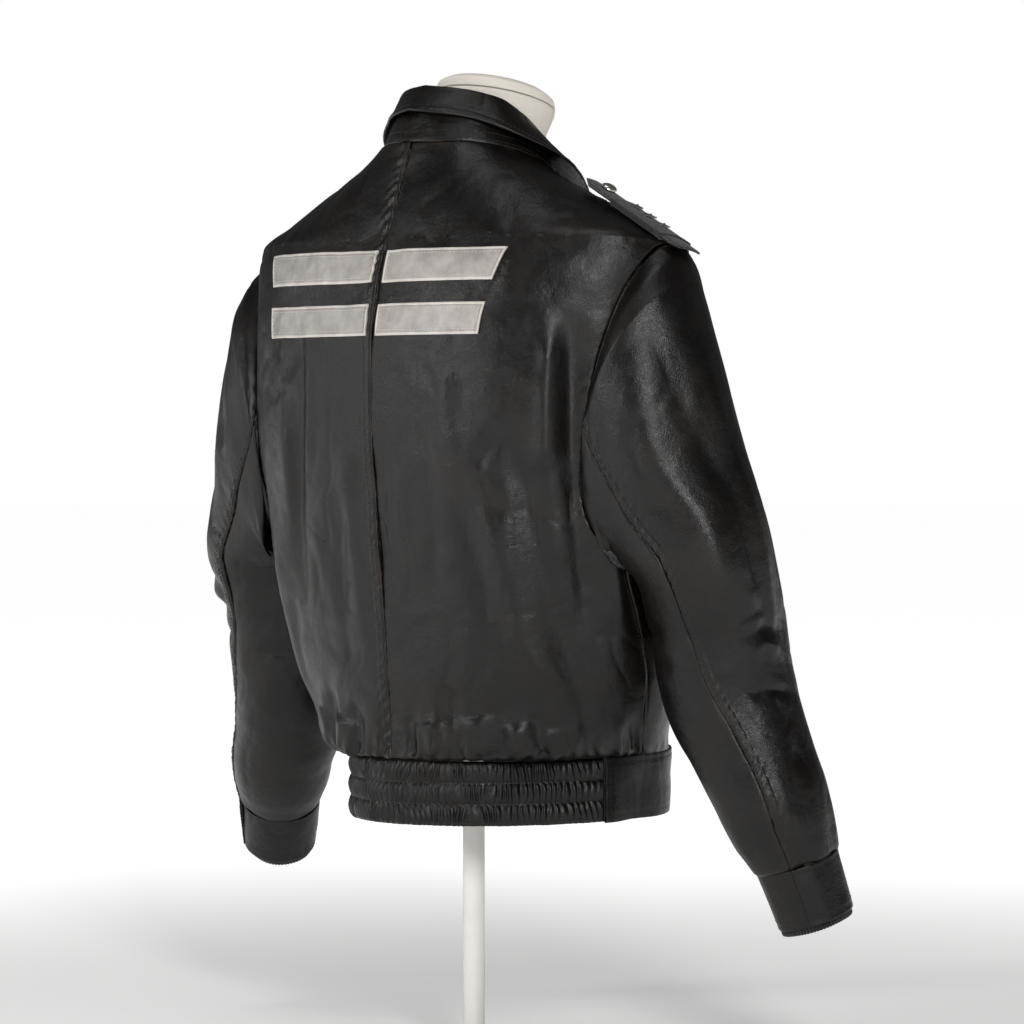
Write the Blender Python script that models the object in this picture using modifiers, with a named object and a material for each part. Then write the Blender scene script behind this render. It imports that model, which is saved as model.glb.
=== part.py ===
"""A zipped leather jacket on a limbless dress form, modelled at its real size.

Metres, +Z up. The wearer faces -Y and the wearer's left is +X. The origin is the
centre of the stand base's underside. Every piece of the jacket is a wall of its true
thickness, lofted through sections that are worked out from the sizes below. Pieces are
worked out on the wearer's left, with x >= 0, and mirrored for the right.
"""
import math

import bmesh
import bpy
import numpy as np
from mathutils import Matrix, Vector

COLLECTION_NAME = "leather_jacket_on_dress_form"

# Cloth
SEAM_GAP = 0.0003
LEATHER = 0.0020
APPLIED = 0.0010
RIGHT_ANGLE = math.pi / 2.0
ALIKE = 0.10
LEVEL_RIM = 0.0008

# Torso sections. Level is the height of a section at the centre back.
SECTION_COLUMNS = ("level", "height", "half_width", "centre_y", "rear_y", "front_y", "roundness", "front_drop",
                   "drop_power")
TORSO_SECTIONS = (
    (0.300, 0.3050, 0.1600, -0.0890, 0.1160, -0.1870, 2.00, -0.008),
    (0.305, 0.3058, 0.1710, -0.0680, 0.1195, -0.1880, 2.00, -0.008),
    (0.311, 0.3095, 0.1795, -0.0510, 0.1212, -0.1865, 2.00, -0.008),
    (0.325, 0.3240, 0.1890, -0.0400, 0.1216, -0.1830, 2.00, -0.006),
    (0.350, 0.3500, 0.2030, -0.0320, 0.1230, -0.1740, 2.00, -0.003),
    (0.385, 0.3850, 0.2130, -0.0220, 0.1255, -0.1640, 2.10, 0.000),
    (0.425, 0.4250, 0.2205, -0.0100, 0.1283, -0.1570, 2.15, 0.000),
    (0.470, 0.4700, 0.2280, -0.0020, 0.1325, -0.1520, 2.25, 0.000),
    (0.525, 0.5250, 0.2365, 0.0000, 0.1390, -0.1490, 2.40, 0.000),
    (0.560, 0.5600, 0.2405, 0.0000, 0.1427, -0.1480, 2.45, 0.000),
    (0.608, 0.6080, 0.2445, 0.0000, 0.1478, -0.1455, 2.50, 0.002),
    (0.667, 0.6670, 0.2470, 0.0000, 0.1500, -0.1420, 2.45, 0.006),
    (0.716, 0.7160, 0.2500, 0.0000, 0.1486, -0.1350, 2.40, 0.010),
    (0.765, 0.7650, 0.2560, 0.0000, 0.1410, -0.1220, 2.30, 0.016),
    (0.794, 0.7940, 0.2615, 0.0000, 0.1340, -0.1110, 2.20, 0.020),
    (0.8145, 0.8145, 0.2630, 0.0000, 0.1270, -0.1020, 2.10, 0.026),
    (0.835, 0.8350, 0.2240, 0.0000, 0.1205, -0.0970, 2.05, 0.030),
    (0.858, 0.8580, 0.1830, 0.0000, 0.1120, -0.0890, 2.00, 0.036),
    (0.880, 0.8800, 0.1420, 0.0000, 0.1030, -0.0820, 2.00, 0.044),
    (0.897, 0.8970, 0.1100, 0.0000, 0.0970, -0.0790, 2.00, 0.050),
    (0.912, 0.9120, 0.0860, 0.0000, 0.0920, -0.0770, 2.00, 0.055),
)
WAIST_ROWS = (0.300, 0.305, 0.311, 0.325, 0.350, 0.385, 0.425, 0.472)
ARMHOLE_ROWS = (0.518, 0.527, 0.552, 0.592, 0.640, 0.680, 0.720, 0.750, 0.772, 0.803, 0.8145)
SHOULDER_ROWS = (0.835, 0.860, 0.888, 0.912)
BACK_COLUMNS = (0.0, 0.02, 0.11, 0.20, 0.30, 0.40, 0.51, 0.63, 0.72, 0.82, 0.91, 1.0)
FRONT_COLUMNS = (0.0, 0.09, 0.19, 0.30, 0.42, 0.55, 0.68, 0.82, 0.97, 1.0)

# Side seam: level, y
SIDE_SEAM = (
    (0.300, -0.060),
    (0.325, -0.038),
    (0.357, -0.024),
    (0.395, -0.014),
    (0.447, 0.010),
    (0.480, 0.028),
    (0.518, 0.042),
)

# Armhole, a loop on the torso. Its turn is 0 at the shoulder tip and 90 degrees at the rear.
ARMHOLE_MIDDLE = 0.66625
ARMHOLE_HALF = 0.14825
ARMHOLE_BOTTOM_Y = 0.042
ARMHOLE_REAR = 0.058
ARMHOLE_FRONT = 0.085
ARMHOLE_FULLNESS = 0.80
SLEEVE_LEAVE = 0.02
MITRE_LIMIT = 1.30

# Folds on the torso: side (+1 left, -1 right), height out of the surface, width, then a path of
# (distance from the centre back, level)
TORSO_FOLDS = (
    (1, -0.0050, 0.016, ((0.112, 0.735), (0.106, 0.700), (0.110, 0.610), (0.126, 0.530), (0.130, 0.450))),
    (1, 0.0030, 0.016, ((0.140, 0.730), (0.138, 0.560))),
    (1, 0.0030, 0.016, ((0.074, 0.327), (0.078, 0.325))),
    (1, 0.0030, 0.016, ((0.122, 0.327), (0.126, 0.325))),
    (1, -0.0030, 0.018, ((0.330, 0.690), (0.345, 0.560), (0.340, 0.420))),
    (1, 0.0025, 0.018, ((0.400, 0.600), (0.395, 0.380))),
    (-1, -0.0060, 0.016, ((0.214, 0.742), (0.222, 0.700), (0.224, 0.580), (0.221, 0.500), (0.222, 0.430))),
    (-1, 0.0040, 0.016, ((0.196, 0.720), (0.194, 0.650), (0.191, 0.590))),
    (-1, -0.0040, 0.016, ((0.166, 0.617), (0.188, 0.475), (0.205, 0.381), (0.222, 0.340))),
    (-1, 0.0040, 0.016, ((0.128, 0.557), (0.146, 0.505), (0.157, 0.432), (0.184, 0.375))),
    (-1, 0.0030, 0.014, ((0.046, 0.328), (0.050, 0.326))),
    (-1, 0.0030, 0.014, ((0.096, 0.329), (0.100, 0.327))),
    (-1, 0.0030, 0.014, ((0.142, 0.325), (0.146, 0.323))),
    (-1, 0.0030, 0.014, ((0.172, 0.318), (0.176, 0.316))),
    (-1, -0.0030, 0.018, ((0.345, 0.660), (0.335, 0.500), (0.350, 0.400))),
    (-1, 0.0025, 0.018, ((0.410, 0.620), (0.402, 0.430))),
)

# Sleeve: station, axis x, y and z, half width outward, half depth, turn of the rear and front seams,
# fullness at the rear and outward
SLEEVE_STATIONS = (
    (0.00, 0.247, 0.012, 0.665, 0.0780, 0.0780, 100.0, -85.0, 0.000),
    (0.02, 0.250, 0.012, 0.658, 0.0780, 0.0780, 100.0, -85.0, 0.016),
    (0.05, 0.252, 0.012, 0.645, 0.0780, 0.0775, 100.0, -85.0, 0.024),
    (0.11, 0.261, 0.010, 0.620, 0.0765, 0.0755, 99.0, -85.0, 0.024),
    (0.18, 0.270, 0.005, 0.590, 0.0750, 0.0745, 96.0, -84.0, 0.017),
    (0.26, 0.276, -0.004, 0.555, 0.0735, 0.0730, 88.0, -83.0, 0.012),
    (0.34, 0.2825, -0.016, 0.518, 0.0710, 0.0710, 79.0, -80.0, 0.015),
    (0.43, 0.2835, -0.027, 0.480, 0.0675, 0.0675, 76.0, -78.0, 0.013),
    (0.52, 0.2845, -0.037, 0.440, 0.0655, 0.0655, 73.0, -76.0, 0.009),
    (0.61, 0.2880, -0.042, 0.400, 0.0650, 0.0650, 69.0, -76.0, 0.004),
    (0.69, 0.2955, -0.046, 0.365, 0.0640, 0.0640, 65.0, -76.0, 0.000),
    (0.77, 0.3105, -0.051, 0.330, 0.0590, 0.0590, 62.0, -76.0, 0.000),
    (0.83, 0.3230, -0.056, 0.300, 0.0555, 0.0555, 60.0, -76.0, 0.000),
    (0.89, 0.3350, -0.0605, 0.272, 0.0530, 0.0530, 60.0, -76.0, 0.000),
    (0.94, 0.3417, -0.0678, 0.246, 0.0500, 0.0500, 61.0, -76.0, 0.000),
    (0.975, 0.3460, -0.0740, 0.228, 0.0458, 0.0458, 61.0, -76.0, 0.000),
    (1.00, 0.3490, -0.0785, 0.213, 0.0420, 0.0420, 61.0, -76.0, 0.000),
)

# How the left forearm hangs away from a mirror image of the right one: station, x, y, z
LEFT_FOREARM_SHIFT = (
    (0.00, 0.000, 0.000, 0.000),
    (0.45, 0.000, 0.000, 0.000),
    (0.64, 0.006, -0.002, 0.001),
    (0.77, 0.003, -0.006, 0.006),
    (0.89, 0.009, -0.013, 0.013),
    (1.00, 0.024, -0.022, 0.021),
)
FULLNESS_TURN = math.radians(48.0)
FULLNESS_SPREAD = math.radians(48.0)
SLEEVE_BLEND_END = 0.43

# The sleeve's front leaves the armhole straight out by this much before it hangs down
LEAD = 0.006
LEAD_START = 0.02
LEAD_END = 0.30
SLEEVE_CLEAR = 0.0045
SLEEVE_CLEAR_START = 0.14
SLEEVE_SOFT_CONTACT = 0.004
REAR_SEAM_ROW = 4
FRONT_SEAM_ROW = 5

# Folds on the sleeves: side, height, width, then a path of (distance round from the outward side, distance down)
SLEEVE_ROUND_REACH = 0.070
SLEEVE_DOWN_REACH = 0.480
SLEEVE_FOLDS = (
    (-1, -0.0040, 0.013, ((0.052, 0.050), (0.044, 0.140), (0.030, 0.240))),
    (-1, 0.0030, 0.013, ((0.080, 0.070), (0.070, 0.190))),
    (-1, -0.0030, 0.012, ((0.000, 0.262), (0.040, 0.250), (0.075, 0.262))),
    (-1, -0.0025, 0.012, ((0.020, 0.345), (0.060, 0.335))),
    (1, -0.0040, 0.013, ((0.040, 0.040), (0.090, 0.075))),
    (1, -0.0035, 0.012, ((0.050, 0.190), (0.110, 0.205))),
    (1, -0.0035, 0.012, ((0.060, 0.240), (0.115, 0.225))),
    (1, 0.0030, 0.013, ((-0.020, 0.100), (-0.010, 0.220))),
)

# Cuffs, along the line of the sleeve's end
CUFF_LENGTH = 0.0575
CUFF_TOP_RADIUS = 0.0420
CUFF_BOTTOM_RADIUS = 0.0385
CUFF_WALL = 0.0024
CUFF_STEPS = 26
CUFF_ROWS = 4
CUFF_START_DEG = 43.0
CUFF_END_DEG = 421.0
CUFF_LIFT_DEG = 45.0
CUFF_LIFT = 0.0028
KNIT_START = 0.55
KNIT_END = 1.10
KNIT_RIBS = 30
KNIT_RADIUS = 0.0343
KNIT_RIB_HEIGHT = 0.0009
KNIT_WALL = 0.0016

# Waistband
BAND_HALF_WIDTH = 0.162
BAND_CENTRE_Y = -0.090
BAND_REAR_Y = 0.118
BAND_FRONT_Y = -0.190
BAND_BOTTOM = 0.2420
BAND_HEIGHT = 0.0620
BAND_FRONT_RISE = 0.0080
BAND_WALL = 0.0030
BAND_TAB_ANGLE_DEG = 18.6
BAND_GATHERS = 46
BAND_CREST = 0.0024
BAND_HEM_PULL = 0.0015
TAB_STEPS = 14
TAB_BULGE = (0.0, 0.0006, 0.0)
TAB_SEAM_GAP = 0.00036

# Collar
FOLD_INSET_REAR = 0.020
FOLD_INSET_SIDE = 0.016
FOLD_INSET_FRONT = 0.007

# Height of the collar's fold over the neck seam: part of the way from the centre back to the end, height
FOLD_HEIGHT = ((0.0, 0.054), (0.35, 0.046), (0.6, 0.036), (0.85, 0.030), (1.0, 0.028))

# The fall's free edge: part of the way to the end, drop below the fold, reach out from it
FALL_EDGE = (
    (0.0, 0.024, 0.020),
    (0.25, 0.026, 0.013),
    (0.45, 0.033, 0.028),
    (0.60, 0.037, 0.041),
    (0.80, 0.048, 0.046),
    (1.0, 0.062, 0.048),
)
STAND_ROWS = 3
NECK_MIDDLE = (0.0, 0.006, 0.0)
STAND_SEAM_GAP = 0.0004
FALL_ROWS = 5
FALL_POWER = 1.10
FALL_START = 0.0008
FALL_END_PART = 0.93
FALL_CLEAR = 0.0020

# Shoulder straps
SHOULDER_NEAR_X = 0.120
SHOULDER_FAR_X = 0.240
STRAP_INNER_X = 0.156
STRAP_OUTER_X = 0.281
STRAP_WIDTH = 0.042
STRAP_THICK = 0.0028
STRAP_INNER_RISE = 0.0110
STRAP_OUTER_RISE = -0.0005
STRAP_CURVE_X = 0.205
STRAP_POINT = 0.014
STRAP_ROUND = 0.010
STRAP_STATIONS = (0.156, 0.170, 0.196, 0.222, 0.248, 0.268, 0.277, 0.281)
STRAP_STEPS = 7
SLIDE_START_X = 0.200
SLIDE_END_X = 0.262
SLIDE_WALL = 0.0013
SLIDE_GAP = 0.0004
STAR_RADIUS = 0.0070
STAR_INNER = 0.0030
STAR_THICK = 0.0014
STAR_X = (0.214, 0.231, 0.248)
BUTTON_X = 0.178
BUTTON_RADIUS = 0.0080
BUTTON_HEIGHT = 0.0050
BUTTON_RIM = 0.0012
BUTTON_FOOT_RADIUS = 0.0074

# Applied shapes on the back: rows and columns of the back panel that each one covers
PATCH_ROWS = ((8, 9), (6, 7))
PATCH_FIRST_COLUMN = 1
PATCH_LAST_COLUMN = {1: 7, -1: 6}

# Zip
ZIP_HALF_CHAIN = 0.0029
ZIP_HALF_OPENING = 0.0053
ZIP_TAPE_HALF = 0.0150
ZIP_TAPE = 0.0009
ZIP_CHAIN_THICK = 0.0019
ZIP_CURVE_RADIUS = 0.180
ZIP_STRIP_COLUMNS = 3
ZIP_BAND_HEIGHTS = (0.058, 0.031, 0.0015)
ZIP_LEVELS = (0.905, 0.880, 0.850, 0.815, 0.770, 0.715, 0.640, 0.550, 0.450, 0.385, 0.350, 0.325)
SLIDER_LEVEL = 0.880
SLIDER_WIDTH = 0.0090
SLIDER_LENGTH = 0.0120
SLIDER_THICK = 0.0026
SLIDER_LIFT = 0.0004
SLIDER_ROUND = 0.0007
BRIDGE_WIDTH = 0.0024
BRIDGE_HEIGHT = 0.0052
BRIDGE_DEPTH = 0.0040
BRIDGE_BAR = 0.0010
TAB_PULL_WIDTH = 0.0074
TAB_PULL_LENGTH = 0.0270
TAB_PULL_THICK = 0.0012
TAB_EYE_WIDTH = 0.0038
TAB_EYE_LENGTH = 0.0040
TAB_CROSSBAR = 0.0012
TAB_CORNER = 0.0016
TAB_HOLE_RADIUS = 0.0026
TAB_HOLE_DROP = 0.0205
SMALL_CORNER = 0.0005

# Dress form
FORM_SECTIONS = (
    (0.330, 0.330, 0.112, -0.022, 0.062, -0.107, 2.00, 0.000, 2.0),
    (0.340, 0.340, 0.134, -0.022, 0.082, -0.127, 2.00, 0.000, 2.0),
    (0.400, 0.400, 0.145, -0.018, 0.092, -0.130, 2.10, 0.000, 2.0),
    (0.470, 0.470, 0.157, -0.010, 0.102, -0.126, 2.20, 0.000, 2.0),
    (0.560, 0.560, 0.176, 0.000, 0.115, -0.122, 2.30, 0.000, 2.0),
    (0.650, 0.650, 0.191, 0.000, 0.124, -0.118, 2.30, 0.004, 2.0),
    (0.730, 0.730, 0.201, 0.000, 0.126, -0.108, 2.30, 0.010, 2.0),
    (0.780, 0.780, 0.207, 0.000, 0.117, -0.096, 2.20, 0.018, 2.0),
    (0.815, 0.815, 0.207, 0.000, 0.107, -0.085, 2.10, 0.028, 2.0),
    (0.836, 0.836, 0.203, 0.000, 0.101, -0.080, 2.05, 0.034, 2.0),
    (0.858, 0.8597, 0.174, 0.000, 0.093, -0.073, 2.00, 0.039, 2.0),
    (0.880, 0.8816, 0.132, 0.000, 0.081, -0.066, 2.00, 0.047, 2.0),
    (0.897, 0.897, 0.099, 0.000, 0.070, -0.060, 2.00, 0.052, 2.0),
    (0.912, 0.912, 0.070, -0.004, 0.052, -0.053, 2.00, 0.050, 1.8),
    (0.930, 0.930, 0.062, -0.012, 0.041, -0.058, 2.00, 0.042, 1.4),
    (0.953, 0.953, 0.060, -0.023, 0.034, -0.078, 2.00, 0.034, 1.0),
    (0.971, 0.971, 0.060, -0.032, 0.028, -0.092, 2.00, 0.028, 1.0),
    (0.980, 0.980, 0.058, -0.033, 0.025, -0.091, 2.00, 0.028, 1.0),
    (0.983, 0.983, 0.050, -0.033, 0.017, -0.083, 2.00, 0.024, 1.0),
)
FORM_ROWS = (0.330, 0.340, 0.400, 0.500, 0.600, 0.680, 0.740, 0.785, 0.815, 0.836, 0.858, 0.880, 0.897, 0.912,
             0.930, 0.953, 0.9707)
NECK_CAP_ROWS = (0.9710, 0.980, 0.983)
FORM_AROUND = 26
USUAL_DROP_POWER = 2.0
POLE_RADIUS = 0.0110
BASE_RADIUS = 0.150
BASE_HEIGHT = 0.0110
BASE_ROUND = 0.0040
FLANGE_RADIUS = 0.030
FLANGE_HEIGHT = 0.008
BASE_BOSS_RADIUS = 0.024
BASE_BOSS_HEIGHT = 0.020

# Finishes: colour, roughness, metallic
FINISHES = {
    "leather": ((0.026, 0.024, 0.022, 1.0), 0.45, 0.0),
    "rib_knit": ((0.006, 0.006, 0.007, 1.0), 0.95, 0.0),
    "strap_cloth": ((0.008, 0.008, 0.010, 1.0), 0.80, 0.0),
    "reflective": ((0.50, 0.47, 0.44, 1.0), 0.50, 0.1),
    "silver": ((0.70, 0.68, 0.64, 1.0), 0.28, 1.0),
    "zip_metal": ((0.30, 0.29, 0.28, 1.0), 0.35, 1.0),
    "zip_cloth": ((0.010, 0.010, 0.011, 1.0), 0.90, 0.0),
    "linen": ((0.83, 0.78, 0.70, 1.0), 0.90, 0.0),
    "painted_steel": ((0.86, 0.85, 0.82, 1.0), 0.40, 0.0),
}


def clear_scene():
    for scene_object in list(bpy.data.objects):
        bpy.data.objects.remove(scene_object, do_unlink=True)


def finish(name):
    material = bpy.data.materials.get(name)
    if material is not None:
        return material
    material = bpy.data.materials.new(name)
    material.use_nodes = True
    shader = material.node_tree.nodes["Principled BSDF"]
    colour, roughness, metallic = FINISHES[name]
    shader.inputs["Base Color"].default_value = colour
    shader.inputs["Roughness"].default_value = roughness
    shader.inputs["Metallic"].default_value = metallic
    return material


def own_finish(name, kind):
    """A material of its own for one piece, copied from its kind's finish."""
    material = finish(kind).copy()
    material.name = name + "_" + kind
    return material


def add_piece(name, mesh, kind):
    piece = bpy.data.objects.new(name, mesh)
    mesh.materials.clear()
    mesh.materials.append(own_finish(name, kind))
    bpy.data.collections[COLLECTION_NAME].objects.link(piece)
    return piece


def mesh_from(name, points, faces):
    mesh = bpy.data.meshes.new(name)
    mesh.from_pydata([tuple(point) for point in points], [], faces)
    body = bmesh.new()
    body.from_mesh(mesh)
    bmesh.ops.recalc_face_normals(body, faces=body.faces)
    body.to_mesh(mesh)
    body.free()
    return mesh


def smooth_piece(mesh, sharp_deg=40.0):
    mesh.shade_smooth()
    mesh.set_sharp_from_angle(angle=math.radians(sharp_deg))


# Curves and sections


def smooth_curve(x, knots, values):
    """Monotone cubic through the knots, so that a section never overshoots its neighbours."""
    x = np.clip(np.asarray(x, dtype=float), knots[0], knots[-1])
    step = np.diff(knots)
    slope = np.diff(values) / step
    before = slope[:-1]
    after = slope[1:]
    same_way = before * after > 0.0
    total = np.where(same_way, before + after, 1.0)
    tangent = np.zeros(len(values))
    tangent[1:-1] = np.where(same_way, 2.0 * before * after / total, 0.0)
    tangent[0] = slope[0]
    tangent[-1] = slope[-1]
    index = np.clip(np.searchsorted(knots, x, side="right") - 1, 0, len(step) - 1)
    t = (x - knots[index]) / step[index]
    start = (1.0 + 2.0 * t) * (1.0 - t) ** 2 * values[index]
    end = t * t * (3.0 - 2.0 * t) * values[index + 1]
    leave = t * (1.0 - t) ** 2 * step[index] * tangent[index]
    arrive = t * t * (t - 1.0) * step[index] * tangent[index + 1]
    return start + end + leave + arrive


def table_curve(rows, column, x):
    table = np.array(rows)
    return smooth_curve(x, table[:, 0], table[:, column])


def signed_power(value, power):
    return np.sign(value) * np.abs(value) ** power


def smooth_step(x):
    x = np.clip(x, 0.0, 1.0)
    return x * x * (3.0 - 2.0 * x)


def unit(vectors):
    length = np.linalg.norm(vectors, axis=-1, keepdims=True)
    return vectors / np.maximum(length, 1e-12)


class Sections:
    """A body through level sections, each an oval with its own rear and front depth.

    The angle is 90 degrees at the centre back, 0 at the side and -90 at the centre front.
    """

    def __init__(self, rows):
        table = np.array(rows)
        self.levels = table[:, 0]
        self.columns = dict(zip(SECTION_COLUMNS[1:], table[:, 1:].T))
        self.columns.setdefault("drop_power", np.full(len(rows), USUAL_DROP_POWER))

    def at(self, column, level):
        return smooth_curve(level, self.levels, self.columns[column])

    def depth(self, level, rearward):
        centre = self.at("centre_y", level)
        rear = self.at("rear_y", level) - centre
        front = centre - self.at("front_y", level)
        return np.where(rearward, rear, front)

    def point(self, angle, level):
        power = 2.0 / self.at("roundness", level)
        sine = np.sin(angle)
        across = self.at("half_width", level) * signed_power(np.cos(angle), power)
        y = self.at("centre_y", level) + self.depth(level, sine >= 0.0) * signed_power(sine, power)
        rear = self.at("rear_y", level)
        frontness = (rear - y) / (rear - self.at("front_y", level))
        frontness = np.maximum(frontness, 0.0) ** self.at("drop_power", level)
        z = self.at("height", level) - self.at("front_drop", level) * frontness
        return np.stack([across, y, z], axis=-1)

    def normal(self, angle, level):
        turn = 1e-3
        rise = 2e-4
        around = self.point(angle + turn, level) - self.point(angle - turn, level)
        up = self.point(angle, level + rise) - self.point(angle, level - rise)
        return unit(np.cross(around, up))

    def angle_at(self, y, level):
        offset = y - self.at("centre_y", level)
        share = np.clip(np.abs(offset) / self.depth(level, offset >= 0.0), 0.0, 1.0)
        return np.sign(offset) * np.arcsin(share ** (self.at("roundness", level) / 2.0))

    def arc_table(self, level):
        """Angles from the centre back to the centre front, and their distance along the section."""
        angles = np.linspace(RIGHT_ANGLE, -RIGHT_ANGLE, 481)
        points = self.point(angles, np.full(angles.shape, level))
        steps = np.linalg.norm(np.diff(points, axis=0), axis=1)
        return angles, np.concatenate([[0.0], np.cumsum(steps)])

    def arc_at(self, angle, level):
        angles, arcs = self.arc_table(level)
        return float(np.interp(-angle, -angles, arcs))

    def angles_at(self, arcs, level):
        angles, table = self.arc_table(level)
        return np.interp(arcs, table, angles)

    def height_over(self, x, y):
        """Height of the surface above a plan point on the shoulders, by halving the range of levels."""
        x, y = np.broadcast_arrays(np.abs(x), y)
        low = np.full(x.shape, 0.760)
        high = np.full(x.shape, self.levels[-1])
        for _ in range(40):
            middle = (low + high) / 2.0
            roundness = self.at("roundness", middle)
            offset = y - self.at("centre_y", middle)
            inside = (x / self.at("half_width", middle)) ** roundness
            inside = inside + (np.abs(offset) / self.depth(middle, offset >= 0.0)) ** roundness < 1.0
            low = np.where(inside, middle, low)
            high = np.where(inside, high, middle)
        rear = self.at("rear_y", low)
        frontness = (rear - y) / (rear - self.at("front_y", low))
        return self.at("height", low) - self.at("front_drop", low) * frontness ** 2


TORSO = Sections(TORSO_SECTIONS)
FORM = Sections(FORM_SECTIONS)


def path_distance(u, v, path):
    """Least distance from the points (u, v) to a line through the path's points."""
    nearest = np.full(np.shape(u), 1e9)
    for (u0, v0), (u1, v1) in zip(path[:-1], path[1:]):
        length = (u1 - u0) ** 2 + (v1 - v0) ** 2
        share = np.clip(((u - u0) * (u1 - u0) + (v - v0) * (v1 - v0)) / length, 0.0, 1.0)
        nearest = np.minimum(nearest, np.hypot(u - u0 - share * (u1 - u0), v - v0 - share * (v1 - v0)))
    return nearest


def fold_relief(folds, side, u, v):
    relief = np.zeros(np.shape(u))
    for fold_side, depth, width, path in folds:
        if fold_side == side:
            relief = relief + depth * np.exp(-(path_distance(u, v, path) / width) ** 2)
    return relief


# Walls


def split_by_shorter(points, a, b, c, d):
    """Two triangles of a four-sided rim face from outer points a and d and inner points b and c.

    It is split the shorter way, or from its higher outer point where both ways are alike, so that the
    rims on both sides of a seam match.
    """
    first = np.linalg.norm(points[a] - points[c])
    second = np.linalg.norm(points[b] - points[d])
    use_first = first < second
    if abs(first - second) < ALIKE * second:
        rise = points[a] - points[d]
        use_first = rise[2] > 0.0 if abs(rise[2]) > LEVEL_RIM else abs(points[a][0]) > abs(points[d][0])
    if use_first:
        return [(a, b, c), (a, c, d)]
    return [(a, b, d), (b, c, d)]


def wall(name, outer, inner, kind, side=1, wrap=False):
    """A closed wall between two grids of points, split along the same diagonals on both faces."""
    rows, columns = outer.shape[:2]
    points = np.concatenate([outer.reshape(-1, 3), inner.reshape(-1, 3)])
    points[:, 0] *= side
    offset = rows * columns
    faces = []
    spans = columns if wrap else columns - 1
    for row in range(rows - 1):
        for column in range(spans):
            across = (column + 1) % columns
            a = row * columns + column
            b = row * columns + across
            c = (row + 1) * columns + across
            d = (row + 1) * columns + column
            faces += [(a, b, c), (a, c, d)]
            faces += [(offset + a, offset + c, offset + b), (offset + a, offset + d, offset + c)]
    edge = [column for column in range(columns)]
    borders = [edge, [(rows - 1) * columns + column for column in reversed(edge)]]
    if wrap:
        borders = [line + line[:1] for line in borders]
    else:
        borders.append([row * columns + columns - 1 for row in range(rows)])
        borders.append([row * columns for row in reversed(range(rows))])
    for line in borders:
        for first, second in zip(line[:-1], line[1:]):
            faces += split_by_shorter(points, first, offset + first, offset + second, second)
    mesh = mesh_from(name, points, faces)
    smooth_piece(mesh)
    return add_piece(name, mesh, kind)


def loft(name, loops, kind, side=1, closed=False):
    """A solid through closed loops of points, with flat ends unless the path closes."""
    stations, count = loops.shape[:2]
    points = loops.reshape(-1, 3).copy()
    points[:, 0] *= side
    faces = []
    for station in range(stations if closed else stations - 1):
        after = (station + 1) % stations
        for index in range(count):
            across = (index + 1) % count
            a = station * count + index
            b = station * count + across
            c = after * count + across
            d = after * count + index
            faces += [(a, b, c), (a, c, d)]
    if not closed:
        faces.append(tuple(range(count)))
        faces.append(tuple(range((stations - 1) * count, stations * count)))
    mesh = mesh_from(name, points, faces)
    smooth_piece(mesh)
    return add_piece(name, mesh, kind)


def grid_normals(grid, wrap=False):
    """Normals of a grid of points, worked out from its neighbours on each side."""
    down = np.gradient(grid, axis=0)
    if wrap:
        along = np.roll(grid, -1, axis=1) - np.roll(grid, 1, axis=1)
    else:
        along = np.gradient(grid, axis=1)
    return unit(np.cross(along, down))


# Torso panels


def armhole_turn(level):
    return np.arccos(np.clip((level - ARMHOLE_MIDDLE) / ARMHOLE_HALF, -1.0, 1.0))


def armhole_y(turn):
    centre = ARMHOLE_BOTTOM_Y * (1.0 - np.cos(turn)) / 2.0
    reach = np.where(np.sin(turn) >= 0.0, ARMHOLE_REAR, ARMHOLE_FRONT)
    return centre + reach * signed_power(np.sin(turn), ARMHOLE_FULLNESS)


def panel_limit(level, rearward):
    """Angle at which a back or front panel ends at this level: side seam, armhole or shoulder seam."""
    if level <= ARMHOLE_ROWS[0]:
        return float(TORSO.angle_at(table_curve(SIDE_SEAM, 1, level), level))
    if level >= ARMHOLE_ROWS[-1]:
        return 0.0
    turn = armhole_turn(level)
    y = armhole_y(turn if rearward else -turn)
    return float(TORSO.angle_at(y, level))


def torso_surface(side, arcs, levels):
    """Outer points and normals of the torso at distances from the centre back, folds included."""
    points = np.zeros(arcs.shape + (3,))
    normals = np.zeros(arcs.shape + (3,))
    for row, level in enumerate(levels):
        angles = TORSO.angles_at(arcs[row], level)
        line = np.full(angles.shape, level)
        points[row] = TORSO.point(angles, line)
        normals[row] = TORSO.normal(angles, line)
    heights = np.broadcast_to(np.array(levels)[:, None], arcs.shape)
    relief = fold_relief(TORSO_FOLDS, side, arcs, heights)
    return points + normals * relief[..., None], normals


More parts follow.
